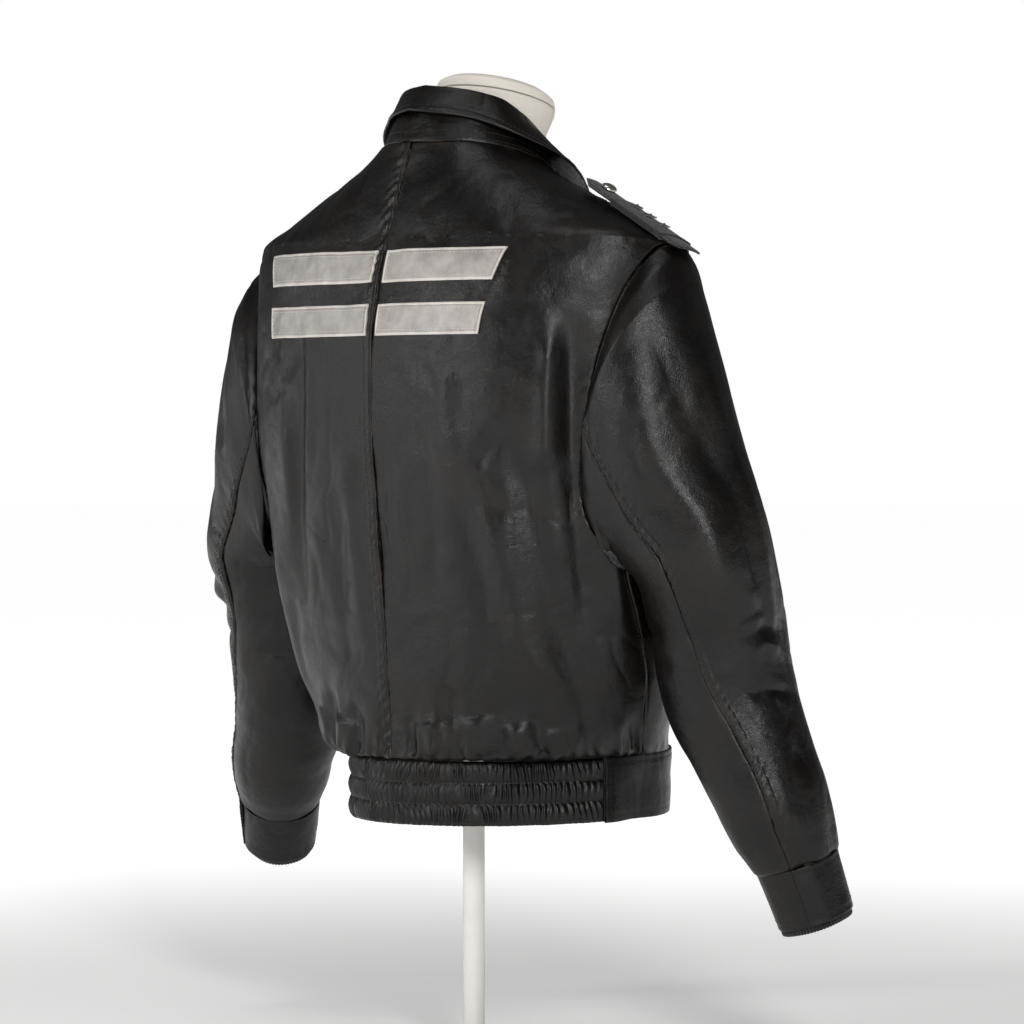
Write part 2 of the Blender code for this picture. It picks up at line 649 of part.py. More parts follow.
def armhole_edge(side, turns):
    """The armhole's points with the wall's mitre and the way across its seam."""
    loop = []
    for turn in turns:
        level = ARMHOLE_MIDDLE + ARMHOLE_HALF * math.cos(turn)
        angle = float(TORSO.angle_at(float(armhole_y(turn)), level))
        arc = np.array([[TORSO.arc_at(angle, level)]])
        point, normal = torso_surface(side, arc, (level,))
        loop.append((point[0, 0], normal[0, 0]))
    points = np.array([point for point, _ in loop])
    torso_normals = np.array([normal for _, normal in loop])
    tangents = unit(np.roll(points, -1, axis=0) - np.roll(points, 1, axis=0))
    steps = sleeve_ring(side, SLEEVE_LEAVE, turns) - sleeve_ring(side, 0.0, turns)
    steps[:, 0] += lead_share(turns) * lead_out(SLEEVE_LEAVE)
    sleeve_normals = unit(np.cross(tangents, steps))
    sleeve_normals = sleeve_normals * np.sign(sleeve_normals[0, 2])
    between = unit(torso_normals + sleeve_normals)
    lean = np.sum(between * torso_normals, axis=1)
    scale = np.minimum(1.0 / np.maximum(lean, 0.1), MITRE_LIMIT)
    mitres = -between * scale[:, None]
    across = unit(np.cross(tangents, mitres))
    across = across * np.sign(across[:, :1])
    return points, mitres, across


def armhole_turns():
    """Turns of the armhole's points, from the shoulder tip by the rear to the armpit and back by the front."""
    rear = [float(armhole_turn(level)) for level in reversed(ARMHOLE_ROWS)]
    front = [-turn for turn in reversed(rear[1:-1])]
    return np.array(rear + front)


def neck_edge(side, arcs):
    """The neck seam's points with the wall's mitre and the way across its seam."""
    level = TORSO.levels[-1]
    points, normals = torso_surface(side, arcs[None, :], (level,))
    points = points[0]
    outward = unit(points * np.array([1.0, 1.0, 0.0]))
    between = unit(normals[0] + outward)
    tangents = unit(np.gradient(points, axis=0))
    across = unit(np.cross(tangents, between))
    across = across * np.sign(across[:, 2:])
    return points, -between * LEATHER, across


def panel_arcs(side, rearward):
    """Distances from the centre back of a panel's points, one row for each level."""
    levels = WAIST_ROWS + ARMHOLE_ROWS + SHOULDER_ROWS
    shares = np.array(BACK_COLUMNS if rearward else FRONT_COLUMNS)
    arcs = []
    for level in levels:
        edge = TORSO.arc_at(panel_limit(level, rearward), level)
        on_armhole = ARMHOLE_ROWS[0] < level < ARMHOLE_ROWS[-1]
        gap = 0.0 if on_armhole else SEAM_GAP / 2.0
        if rearward:
            arcs.append(SEAM_GAP / 2.0 + shares * (edge - gap - SEAM_GAP / 2.0))
        else:
            centre_front = TORSO.arc_at(-RIGHT_ANGLE, level) - ZIP_HALF_OPENING
            arcs.append(edge + gap + shares * (centre_front - edge - gap))
    return np.array(arcs), levels


def build_panel(name, side, rearward):
    arcs, levels = panel_arcs(side, rearward)
    outer, normals = torso_surface(side, arcs, levels)
    inner = outer - normals * LEATHER
    edge_column = -1 if rearward else 0
    first = len(WAIST_ROWS)
    turns = armhole_turns()
    points, mitres, _ = armhole_edge(side, turns)
    last = len(ARMHOLE_ROWS) - 1
    for step in range(last + 1):
        index = step if rearward else -step
        row = first + last - step
        outer[row, edge_column] = points[index]
        inner[row, edge_column] = points[index] + mitres[index] * LEATHER
    if not rearward:
        shift = SEAM_GAP * np.array([0.0, -1.0, 0.0])
        for row in (first, first + last):
            outer[row, 0] += shift
            inner[row, 0] += shift
    _, neck_mitres, _ = neck_edge(side, arcs[-1])
    inner[-1] = outer[-1] + neck_mitres
    wall(name, outer, inner, "leather", side)
    return outer, normals


def build_patches(side_name, side, outer, normals):
    """Flat shapes laid on a back panel, from its own points moved out."""
    first = len(WAIST_ROWS)
    for number, (low, high) in enumerate(PATCH_ROWS):
        rows = slice(first + low, first + high + 1)
        columns = slice(PATCH_FIRST_COLUMN, PATCH_LAST_COLUMN[side] + 1)
        under = outer[rows, columns] + normals[rows, columns] * SEAM_GAP
        over = under + normals[rows, columns] * APPLIED
        wall("back_shape_%s_%d" % (side_name, number + 1), over, under, "reflective", side)


# Sleeves


def sleeve_centre(side, station):
    """A point of the sleeve's axis; the left forearm hangs a little further forward and up."""
    centre = np.array([table_curve(SLEEVE_STATIONS, column, station) for column in (1, 2, 3)])
    if side > 0:
        centre = centre + np.array([table_curve(LEFT_FOREARM_SHIFT, column, station) for column in (1, 2, 3)])
    return centre


def sleeve_frame(side, station):
    """Axis point, outward and rearward directions and half sizes at a station."""
    centre = sleeve_centre(side, station)
    reach = 0.02
    before = sleeve_centre(side, max(station - reach, 0.0))
    after = sleeve_centre(side, min(station + reach, 1.0))
    axis = unit(after - before)
    rearward = unit(np.array([0.0, 1.0, 0.0]) - axis[1] * axis)
    outward = unit(np.cross(axis, rearward))
    outward = outward * np.sign(outward[0])
    half_width = float(table_curve(SLEEVE_STATIONS, 4, station))
    half_depth = float(table_curve(SLEEVE_STATIONS, 5, station))
    return centre, outward, rearward, half_width, half_depth


def sleeve_ring(side, station, angles):
    centre, outward, rearward, half_width, half_depth = sleeve_frame(side, station)
    away = np.angle(np.exp(1j * (angles - FULLNESS_TURN)))
    full = table_curve(SLEEVE_STATIONS, 8, station) * np.exp(-(away / FULLNESS_SPREAD) ** 2)
    across = (np.cos(angles) * (half_width + full))[:, None] * outward
    along = (np.sin(angles) * (half_depth + full))[:, None] * rearward
    return centre + across + along


def clear_of_torso(points, margin):
    """Presses the sleeve's inner side flat where it hangs against the torso."""
    cleared = points.copy()
    levels = np.clip(points[:, 2], TORSO.levels[3], ARMHOLE_ROWS[0])
    offset = points[:, 1] - TORSO.at("centre_y", levels)
    share = np.clip(np.abs(offset) / TORSO.depth(levels, offset >= 0.0), 0.0, 0.999)
    roundness = TORSO.at("roundness", levels)
    wall_x = TORSO.at("half_width", levels) * (1.0 - share ** roundness) ** (1.0 / roundness) + margin
    gap = points[:, 0] - wall_x
    cleared[:, 0] = wall_x + (gap + np.sqrt(gap ** 2 + SLEEVE_SOFT_CONTACT ** 2)) / 2.0
    return cleared


def lead_out(station):
    """How far the sleeve has gone straight out from the armhole before it hangs down."""
    rise = min(station / LEAD_START, 1.0)
    fade = 1.0 - smooth_step((station - LEAD_START) / (LEAD_END - LEAD_START))
    return float(LEAD * rise * fade)


def lead_share(turns):
    """All of the lead at the front and the armpit, none at the rear and the shoulder tip."""
    return smooth_step(0.75 - np.sin(turns) - 0.60 * np.cos(turns))


def sleeve_grid(side, first, last):
    """Outer points of a sleeve piece, from one of the armhole's points to another."""
    turns = armhole_turns()
    count = len(turns)
    points, mitres, across = armhole_edge(side, turns)
    picks = [index % count for index in range(first, last + 1)]
    signed = np.array([turns[index] for index in picks])
    signed = np.unwrap(signed)
    signed = signed - 2.0 * math.pi * round((signed[0] - turns[picks[0]]) / (2.0 * math.pi))
    stations = [row[0] for row in SLEEVE_STATIONS]
    start_ring = sleeve_ring(side, 0.0, spread_angles(signed, 0.0))
    lead = lead_share(signed)
    pull = points[picks] + across[picks] * SEAM_GAP - start_ring
    grid = []
    for station in stations:
        ring = sleeve_ring(side, station, spread_angles(signed, station))
        share = min(station / SLEEVE_BLEND_END, 1.0)
        ring = ring + pull * (1.0 - smooth_step(share))
        ring[:, 0] += lead * lead_out(station)
        if station > 0.0:
            settle = float(smooth_step(station / SLEEVE_CLEAR_START))
            cleared = clear_of_torso(ring, SLEEVE_CLEAR * settle)
            ring = ring + (cleared - ring) * max(settle, 0.4)
        grid.append(ring)
    along, down = np.meshgrid(SLEEVE_ROUND_REACH * signed, SLEEVE_DOWN_REACH * np.array(stations))
    return np.array(grid), fold_relief(SLEEVE_FOLDS, side, along, down), mitres[picks]


def spread_angles(signed, station):
    """Angles around the sleeve that move from the armhole's points to an even spread between seams."""
    rear = math.radians(float(table_curve(SLEEVE_STATIONS, 6, station)))
    front = math.radians(float(table_curve(SLEEVE_STATIONS, 7, station)))
    even = np.linspace(0.0, 1.0, len(signed))
    if abs(signed[0]) < RIGHT_ANGLE * 1.05 and signed[0] < 0.0:
        start, end = front, rear
    else:
        start, end = rear, front + 2.0 * math.pi
    drawn = (signed - signed[0]) / (signed[-1] - signed[0])
    share = float(smooth_step(min(station / SLEEVE_BLEND_END, 1.0)))
    spread = drawn + (even - drawn) * share
    return start + (end - start) * spread


def build_sleeve_piece(name, side, first, last, tube):
    grid, relief, mitres = sleeve_grid(side, first, last)
    normals = tube[:, :grid.shape[1]]
    outer = grid + normals * relief[..., None]
    inner = outer - normals * LEATHER
    inner[0] = outer[0] + mitres * LEATHER
    seam = unit(np.gradient(outer, axis=1)) * SEAM_GAP / 2.0
    outer[:, 0] += seam[:, 0]
    inner[:, 0] += seam[:, 0]
    outer[:, -1] -= seam[:, -1]
    inner[:, -1] -= seam[:, -1]
    wall(name, outer, inner, "leather", side)


def sleeve_tube_normals(upper, under):
    """Normals around the whole sleeve, so that both pieces share one direction at their seams."""
    ring = np.concatenate([upper[:, :-1], under[:, :-1]], axis=1)
    normals = grid_normals(ring, wrap=True)
    outwards = np.sum(normals * (ring - ring.mean(axis=1, keepdims=True)), axis=-1).mean()
    return normals * np.sign(outwards)


def build_sleeve(side_name, side):
    count = len(armhole_turns())
    rear_index = len(ARMHOLE_ROWS) - 1 - REAR_SEAM_ROW
    front_index = count - (len(ARMHOLE_ROWS) - 1 - FRONT_SEAM_ROW)
    upper, _, _ = sleeve_grid(side, front_index - count, rear_index)
    under, _, _ = sleeve_grid(side, rear_index, front_index)
    normals = sleeve_tube_normals(upper, under)
    under_normals = np.roll(normals, 1 - upper.shape[1], axis=1)
    build_sleeve_piece("upper_sleeve_" + side_name, side, front_index - count, rear_index, normals)
    build_sleeve_piece("under_sleeve_" + side_name, side, rear_index, front_index, under_normals)


def cuff_frame(side):
    """Centres of the cuff's top and bottom edges and its outward and rearward directions."""
    centre, outward, rearward, _, _ = sleeve_frame(side, 1.0)
    axis = unit(np.cross(outward, rearward))
    axis = axis * -np.sign(axis[2])
    top = centre + axis * SEAM_GAP
    return top, top + axis * CUFF_LENGTH, outward, rearward


def build_cuff(side_name, side):
    """A strip that laps over its own start at the rear."""
    top, bottom, outward, rearward = cuff_frame(side)
    degrees = np.linspace(CUFF_START_DEG, CUFF_END_DEG, CUFF_STEPS + 1)
    lift = CUFF_LIFT * smooth_step((degrees - CUFF_END_DEG + CUFF_LIFT_DEG) / (CUFF_LIFT_DEG * 0.5))
    turns = np.radians(degrees)
    direction = np.cos(turns)[:, None] * outward + np.sin(turns)[:, None] * rearward
    outer = []
    inner = []
    for share in np.linspace(0.0, 1.0, CUFF_ROWS):
        centre = top + (bottom - top) * share
        radius = CUFF_TOP_RADIUS + (CUFF_BOTTOM_RADIUS - CUFF_TOP_RADIUS) * share
        outer.append(centre + direction * (radius + lift)[:, None])
        inner.append(centre + direction * (radius - CUFF_WALL + lift)[:, None])
    wall("cuff_" + side_name, np.array(outer), np.array(inner), "leather", side)


def build_knit_cuff(side_name, side):
    """A ribbed tube with a plain inside that hangs out of the leather cuff."""
    top, bottom, outward, rearward = cuff_frame(side)
    turns = np.linspace(0.0, 2.0 * math.pi, KNIT_RIBS * 2, endpoint=False)
    direction = np.cos(turns)[:, None] * outward + np.sin(turns)[:, None] * rearward
    rib = np.where(np.arange(KNIT_RIBS * 2) % 2 == 0, KNIT_RIB_HEIGHT, 0.0)[:, None]
    outer = []
    inner = []
    for share in (KNIT_START, KNIT_END):
        centre = top + (bottom - top) * share
        outer.append(centre + direction * (KNIT_RADIUS + rib))
        inner.append(centre + direction * (KNIT_RADIUS - KNIT_WALL))
    wall("knit_cuff_" + side_name, np.array(outer), np.array(inner), "rib_knit", side, wrap=True)


# Waistband


def band_point(angle, out, up):
    """A point of the waistband at an angle from the side, moved out and up from its lower outer edge."""
    sine = np.sin(angle)
    depth = np.where(sine >= 0.0, BAND_REAR_Y - BAND_CENTRE_Y, BAND_CENTRE_Y - BAND_FRONT_Y)
    x = BAND_HALF_WIDTH * np.cos(angle)
    y = BAND_CENTRE_Y + depth * sine
    normal = unit(np.stack([np.cos(angle) / BAND_HALF_WIDTH, sine / depth], axis=-1))
    rise = BAND_FRONT_RISE * ((BAND_REAR_Y - y) / (BAND_REAR_Y - BAND_FRONT_Y)) ** 2
    return np.stack([x + normal[..., 0] * out, y + normal[..., 1] * out, BAND_BOTTOM + rise + up], axis=-1)


def band_angles(start, end, count):
    """Angles between two ends of the band at even distances along it."""
    angles = np.linspace(start, end, 721)
    points = band_point(angles, 0.0, 0.0)
    arcs = np.concatenate([[0.0], np.cumsum(np.linalg.norm(np.diff(points, axis=0), axis=1))])
    return np.interp(np.linspace(0.0, arcs[-1], count), arcs, angles)


def build_band_back():
    """The elasticated back: three gathered channels between stitched lines, over a plain inside."""
    tab = math.radians(BAND_TAB_ANGLE_DEG)
    angles = band_angles(tab, math.pi - tab, BAND_GATHERS * 2 + 1)
    wave = (np.arange(len(angles)) % 2).astype(float)
    wave[0] = 0.0
    wave[-1] = 0.0
    third = BAND_HEIGHT / 3.0
    loops = []
    for angle, crest in zip(angles, wave):
        low = BAND_CREST * crest
        high = BAND_CREST * (1.0 - crest)
        profile = (
            (-BAND_HEM_PULL, 0.0),
            (low, third * 0.5),
            (0.0, third),
            (high, third * 1.5),
            (0.0, third * 2.0),
            (low, third * 2.5),
            (-BAND_HEM_PULL, BAND_HEIGHT),
            (-BAND_WALL, BAND_HEIGHT),
            (-BAND_WALL, 0.0),
        )
        loops.append([band_point(angle, out, up) for out, up in profile])
    loft("waistband_back", np.array(loops), "leather")


def build_band_tab(side_name, side):
    tab = math.radians(BAND_TAB_ANGLE_DEG)
    front = -RIGHT_ANGLE + ZIP_HALF_OPENING / BAND_HALF_WIDTH
    angles = band_angles(tab, front, TAB_STEPS + 1)
    angles[0] -= TAB_SEAM_GAP / BAND_HALF_WIDTH
    rows = np.linspace(0.0, BAND_HEIGHT, len(TAB_BULGE))
    outer = np.array([band_point(angles, extra, up) for up, extra in zip(rows, TAB_BULGE)])
    inner = np.array([band_point(angles, -BAND_WALL, up) for up in rows])
    wall("waistband_tab_" + side_name, outer, inner, "leather", side)


# Collar


def neck_arcs(side):
    back, _ = panel_arcs(side, True)
    front, _ = panel_arcs(side, False)
    edge = (back[-1][-1] + front[-1][0]) / 2.0
    line = np.concatenate([[0.0], back[-1][2:-1], [edge], front[-1][1:-2], front[-1][-1:]])
    return line


def fold_line(arcs):
    """The collar's top fold: each neck seam point moved up and inward."""
    points, _, _ = neck_edge(1, arcs)
    part = arcs / arcs[-1]
    rise = table_curve(FOLD_HEIGHT, 1, part)
    outward = unit((points - np.array(NECK_MIDDLE)) * np.array([1.0, 1.0, 0.0]))
    inset = table_curve(((0.0, FOLD_INSET_REAR), (0.5, FOLD_INSET_SIDE), (1.0, FOLD_INSET_FRONT)), 1, part)
    fold = points - outward * inset[:, None]
    fold[:, 2] += rise
    return fold, outward, part


def both_sides(half, skip_middle=True):
    """A row of points on the left joined to its mirror image, from the right end to the left end."""
    mirrored = half * np.array([-1.0, 1.0, 1.0])
    start = 1 if skip_middle else 0
    return np.concatenate([mirrored[::-1], half[start:]], axis=0)


def build_collar_stand():
    arcs = neck_arcs(1)
    edge, mitres, across = neck_edge(1, arcs)
    across[0] = (0.0, across[0][1], across[0][2])
    fold, outward, _ = fold_line(arcs)
    outer = []
    inner = []
    for share in np.linspace(0.0, 1.0, STAND_ROWS + 1):
        line = edge + across * STAND_SEAM_GAP
        line = line + (fold - line) * share
        back = mitres * (1.0 - share) - outward * LEATHER * share
        if 0.0 < share < 1.0:
            back = unit(back) * LEATHER
        outer.append(both_sides(line))
        inner.append(both_sides(line + back))
    wall("collar_stand", np.array(outer), np.array(inner), "leather")


def build_collar_fall():
    """The collar's outer leaf: over the stand's top edge, then out and down to its free edge."""
    arcs = neck_arcs(1)
    fold, outward, part = fold_line(arcs)
    keep = part <= FALL_END_PART
    fold = fold[keep]
    outward = outward[keep]
    part = part[keep] / part[keep][-1]
    drop = table_curve(FALL_EDGE, 1, part)
    flare = table_curve(FALL_EDGE, 2, part)
    profile = [(-LEATHER, SEAM_GAP), (FALL_START, SEAM_GAP)]
    under = [fold + outward * out + np.array([0.0, 0.0, up]) for out, up in profile]
    over = [line + np.array([0.0, 0.0, LEATHER]) for line in under]
    over[1] = over[1] + outward * FALL_START - np.array([0.0, 0.0, SEAM_GAP])
    for share in np.linspace(0.0, 1.0, FALL_ROWS)[1:]:
        out = FALL_START + (flare - FALL_START) * share ** FALL_POWER
        down = drop * share
        line = fold + outward * out[:, None]
        line[:, 2] += SEAM_GAP - down
        line[:, 2] = np.maximum(line[:, 2], TORSO.height_over(line[:, 0], line[:, 1]) + FALL_CLEAR)
        under.append(line)
        tilt = unit(outward * drop[:, None] + np.array([0.0, 0.0, 1.0]) * flare[:, None])
        over.append(line + tilt * LEATHER)
    outer = np.array([both_sides(line) for line in over])
    inner = np.array([both_sides(line) for line in under])
    wall("collar_fall", outer, inner, "leather")


# Shoulder straps


def shoulder_line(x):
    """Height of the shoulder ridge, carried on straight past the shoulder tip."""
    low = float(TORSO.height_over(np.array(SHOULDER_FAR_X), np.array(0.0)))
    high = float(TORSO.height_over(np.array(SHOULDER_NEAR_X), np.array(0.0)))
    return high + (low - high) * (x - SHOULDER_NEAR_X) / (SHOULDER_FAR_X - SHOULDER_NEAR_X)


def strap_height(x, y):
    """Underside of the strap: the shoulder's own cross curve, carried along the shoulder line."""
    middle = np.full(np.shape(y), STRAP_CURVE_X)
    cross = TORSO.height_over(middle, np.asarray(y)) - TORSO.height_over(middle, np.zeros(np.shape(y)))
    share = (x - STRAP_INNER_X) / (STRAP_OUTER_X - STRAP_INNER_X)
    rise = STRAP_INNER_RISE + (STRAP_OUTER_RISE - STRAP_INNER_RISE) * share
    return shoulder_line(x) + rise + cross


def strap_rest(x, reach):
    """Height of the strap's underside where it is highest under something that reaches this far across."""
    return float(np.max(strap_height(x, np.array([-reach, 0.0, reach]))))


def strap_station_half_width(x):
    """Half width of the strap: pointed at the collar end, rounded at the sleeve end."""
    half = STRAP_WIDTH / 2.0
    point = np.clip((x - STRAP_INNER_X) / STRAP_POINT, 0.0, 1.0)
    tip = np.clip((STRAP_OUTER_X - x) / STRAP_ROUND, 0.0, 1.0)
    return half * (0.35 + 0.65 * point) * (0.55 + 0.45 * np.sqrt(1.0 - (1.0 - tip) ** 2))


def build_strap(side_name, side):
    xs = np.array(STRAP_STATIONS)
    across = np.linspace(-1.0, 1.0, STRAP_STEPS)
    half = strap_station_half_width(xs)
    y = half[:, None] * across[None, :]
    x = xs[:, None] + 0.0 * y
    under = np.stack([x, y, strap_height(x, y)], axis=-1)
    over = under + np.array([0.0, 0.0, STRAP_THICK])
    wall("shoulder_strap_" + side_name, over, under, "strap_cloth", side)


def slide_loop(x, grow):
    """A closed loop around the strap's section at x, grown outward from the strap."""
    half = STRAP_WIDTH / 2.0 + grow
    across = np.linspace(-1.0, 1.0, 7)
    y = half * across
    top = strap_height(x, y) + STRAP_THICK + grow
    bottom = strap_height(x, y) - grow
    over = np.stack([np.full(y.shape, x), y, top], axis=-1)
    under = np.stack([np.full(y.shape, x), y, bottom], axis=-1)
    return np.concatenate([over, under[::-1]], axis=0)


def build_slide(side_name, side):
    xs = np.linspace(SLIDE_START_X, SLIDE_END_X, 4)
    outer = np.array([slide_loop(x, SLIDE_GAP + SLIDE_WALL) for x in xs])
    inner = np.array([slide_loop(x, SLIDE_GAP) for x in xs])
    wall("strap_slide_" + side_name, outer, inner, "strap_cloth", side, wrap=True)


def shoulder_slope():
    """Slope of the strap, down to the sleeve end."""
    ends = [float(strap_height(x, np.zeros(1))[0]) for x in (STRAP_INNER_X, STRAP_OUTER_X)]
    return math.atan2(ends[0] - ends[1], STRAP_OUTER_X - STRAP_INNER_X)


def curve_plate(name, outlines, thickness, kind):
    """A flat plate from closed outlines in its own XY plane, holes included."""
    curve = bpy.data.curves.new(name, "CURVE")
    curve.dimensions = "2D"
    curve.fill_mode = "BOTH"
    curve.extrude = thickness / 2.0
    for outline in outlines:
        spline = curve.splines.new("POLY")
        spline.points.add(len(outline) - 1)
        for point, (x, y) in zip(spline.points, outline):
            point.co = (x, y, 0.0, 1.0)
        spline.use_cyclic_u = True
    guide = bpy.data.objects.new(name + "_outline", curve)
    bpy.context.scene.collection.objects.link(guide)
    graph = bpy.context.evaluated_depsgraph_get()
    mesh = bpy.data.meshes.new_from_object(guide.evaluated_get(graph))
    bpy.data.objects.remove(guide, do_unlink=True)
    body = bmesh.new()
    body.from_mesh(mesh)
    bmesh.ops.remove_doubles(body, verts=body.verts, dist=0.00001)
    bmesh.ops.recalc_face_normals(body, faces=body.faces)
    body.to_mesh(mesh)
    body.free()
    mesh.name = name
    return add_piece(name, mesh, kind)


def star_outline():
    points = []
    for index in range(10):
        radius = STAR_RADIUS if index % 2 == 0 else STAR_INNER
        turn = math.radians(90.0 + 36.0 * index)
        points.append((radius * math.cos(turn), radius * math.sin(turn)))
    return points


def build_stars(side_name, side):
    slope = shoulder_slope()
    for number, x in enumerate(STAR_X):
        star = curve_plate("star_%s_%d" % (side_name, number + 1), [star_outline()], STAR_THICK, "silver")
        slide_top = STRAP_THICK + SLIDE_GAP + SLIDE_WALL
        height = strap_rest(x, STAR_RADIUS) + slide_top + (SEAM_GAP + STAR_THICK / 2.0) / math.cos(slope)
        star.location = (side * x, 0.0, height)
        star.rotation_euler = (0.0, side * slope, 0.0)


def turned(name, profile, kind, steps=24):
    """A turned shape: a profile of (radius, height) pairs from top to bottom, swept round +Z."""
    mesh = bpy.data.meshes.new(name)
    edges = [(index, index + 1) for index in range(len(profile) - 1)]
    mesh.from_pydata([(radius, 0.0, height) for radius, height in profile], edges, [])
    piece = add_piece(name, mesh, kind)
    screw = piece.modifiers.new("Turn", "SCREW")
    screw.steps = steps
    screw.render_steps = steps
    screw.use_merge_vertices = True
    screw.merge_threshold = 0.00001
    screw.use_smooth_shade = True
    return piece


def button_profile():
    dome = []
    for index in range(6):
        turn = math.radians(90.0 * index / 5.0)
        rise = BUTTON_RIM + (BUTTON_HEIGHT - BUTTON_RIM) * math.cos(turn)
        dome.append((BUTTON_RADIUS * math.sin(turn), rise))
    return dome + [(BUTTON_FOOT_RADIUS, 0.0), (0.0, 0.0)]


def build_button(side_name, side):
    slope = shoulder_slope()
    button = turned("strap_button_" + side_name, button_profile(), "silver", 20)
    lift = STRAP_THICK + SEAM_GAP / math.cos(slope)
    button.location = (side * BUTTON_X, 0.0, strap_rest(BUTTON_X, BUTTON_RADIUS) + lift)
    button.rotation_euler = (0.0, side * slope, 0.0)


# Zip


def centre_front(level, inward):
    """A point on the centre front line, moved in from the outer surface, with the line's outward normal."""
    angle = np.array([-RIGHT_ANGLE])
    point = TORSO.point(angle, np.array([level]))[0]
    normal = TORSO.normal(angle, np.array([level]))[0]
    normal = unit(np.array([0.0, normal[1], normal[2]]))
    return point - normal * inward, normal


def zip_line(inward):
    """Points down the centre front, from the neck to the waistband's lower edge."""
    points = []
    for level in ZIP_LEVELS:
        point, normal = centre_front(level, inward)
        points.append((point, normal))
    outward = np.array([0.0, -1.0, 0.0])
    for up in ZIP_BAND_HEIGHTS:
        point = band_point(np.array(-RIGHT_ANGLE), -inward, up)
        point[0] = 0.0
        points.append((point, outward))
    return points


def build_zip_strip(name, inward, thickness, left, right, kind):
    """A strip down the centre front between two distances from the centre line."""
    outer = []
    inner = []
    across = np.linspace(left, right, ZIP_STRIP_COLUMNS)
    for point, normal in zip_line(inward):
        hollow = -normal[None, :] * (across ** 2 / (2.0 * ZIP_CURVE_RADIUS))[:, None]
        front = point + hollow + across[:, None] * np.array([1.0, 0.0, 0.0])
        outer.append(front)
        inner.append(front - normal * thickness)
    wall(name, np.array(outer), np.array(inner), kind)


def build_zip():
    depth = BAND_WALL + SEAM_GAP * 2.0
    build_zip_strip("zip_chain", depth - ZIP_CHAIN_THICK - SEAM_GAP, ZIP_CHAIN_THICK, -ZIP_HALF_CHAIN,
                    ZIP_HALF_CHAIN, "zip_metal")
    build_zip_strip("zip_tape_left", depth, ZIP_TAPE, SEAM_GAP / 2.0, ZIP_TAPE_HALF, "zip_cloth")
    build_zip_strip("zip_tape_right", depth, ZIP_TAPE, -ZIP_TAPE_HALF, -SEAM_GAP / 2.0, "zip_cloth")


def rounded_outline(width, height, radius, steps=4):
    points = []
    for corner, (sx, sy) in enumerate(((1, 1), (-1, 1), (-1, -1), (1, -1))):
        centre = (sx * (width / 2.0 - radius), sy * (height / 2.0 - radius))
        for index in range(steps + 1):
            turn = math.radians(90.0 * corner + 90.0 * index / steps)
            points.append((centre[0] + radius * math.cos(turn), centre[1] + radius * math.sin(turn)))
    return points


def slider_frame():
    """Place and turn of the slider: Z along the zip, upward, and -Y out of the jacket."""
    low, _ = centre_front(SLIDER_LEVEL - 0.01, 0.0)
    high, _ = centre_front(SLIDER_LEVEL + 0.01, 0.0)
    up = Vector(high - low).normalized()
    point, normal = centre_front(SLIDER_LEVEL, 0.0)
    outward = (Vector(normal) - up * Vector(normal).dot(up)).normalized()
    frame = Matrix((Vector((1.0, 0.0, 0.0)), -outward, up)).transposed().to_4x4()
    frame.translation = Vector(point)
    return frame


def chain_front():
    """Distance from the outer surface out to the chain's front face."""
    return -(BAND_WALL + SEAM_GAP * 2.0 - ZIP_CHAIN_THICK - SEAM_GAP)


def build_slider():
    frame = slider_frame()
    front = chain_front()
    name = "zip_slider"
    body = bmesh.new()
    bmesh.ops.create_cube(body, size=1.0)
    bmesh.ops.scale(body, vec=(SLIDER_WIDTH, SLIDER_THICK, SLIDER_LENGTH), verts=body.verts)
    mesh = bpy.data.meshes.new(name)
    body.to_mesh(mesh)
    body.free()
    slider = add_piece(name, mesh, "silver")
    bevel = slider.modifiers.new("Rounded", "BEVEL")
    bevel.width = SLIDER_ROUND
    bevel.segments = 2
    slider_in = front + SEAM_GAP + SLIDER_LIFT
    slider.matrix_world = frame @ Matrix.Translation((0.0, -slider_in - SLIDER_THICK / 2.0, 0.0))
    bridge_out = slider_in + SLIDER_THICK + SEAM_GAP
    outlines = [
        rounded_outline(BRIDGE_DEPTH, BRIDGE_HEIGHT, SMALL_CORNER, 2),
        rounded_outline(BRIDGE_DEPTH - 2.0 * BRIDGE_BAR, BRIDGE_HEIGHT - 2.0 * BRIDGE_BAR, SMALL_CORNER / 2.0, 2),
    ]
    bridge = curve_plate("zip_slider_bridge", outlines, BRIDGE_WIDTH, "silver")
    sideways = Matrix.Rotation(RIGHT_ANGLE, 4, "Z") @ Matrix.Rotation(RIGHT_ANGLE, 4, "X")
    bridge.matrix_world = frame @ Matrix.Translation((0.0, -bridge_out - BRIDGE_DEPTH / 2.0, 0.0)) @ sideways
    return frame, bridge_out


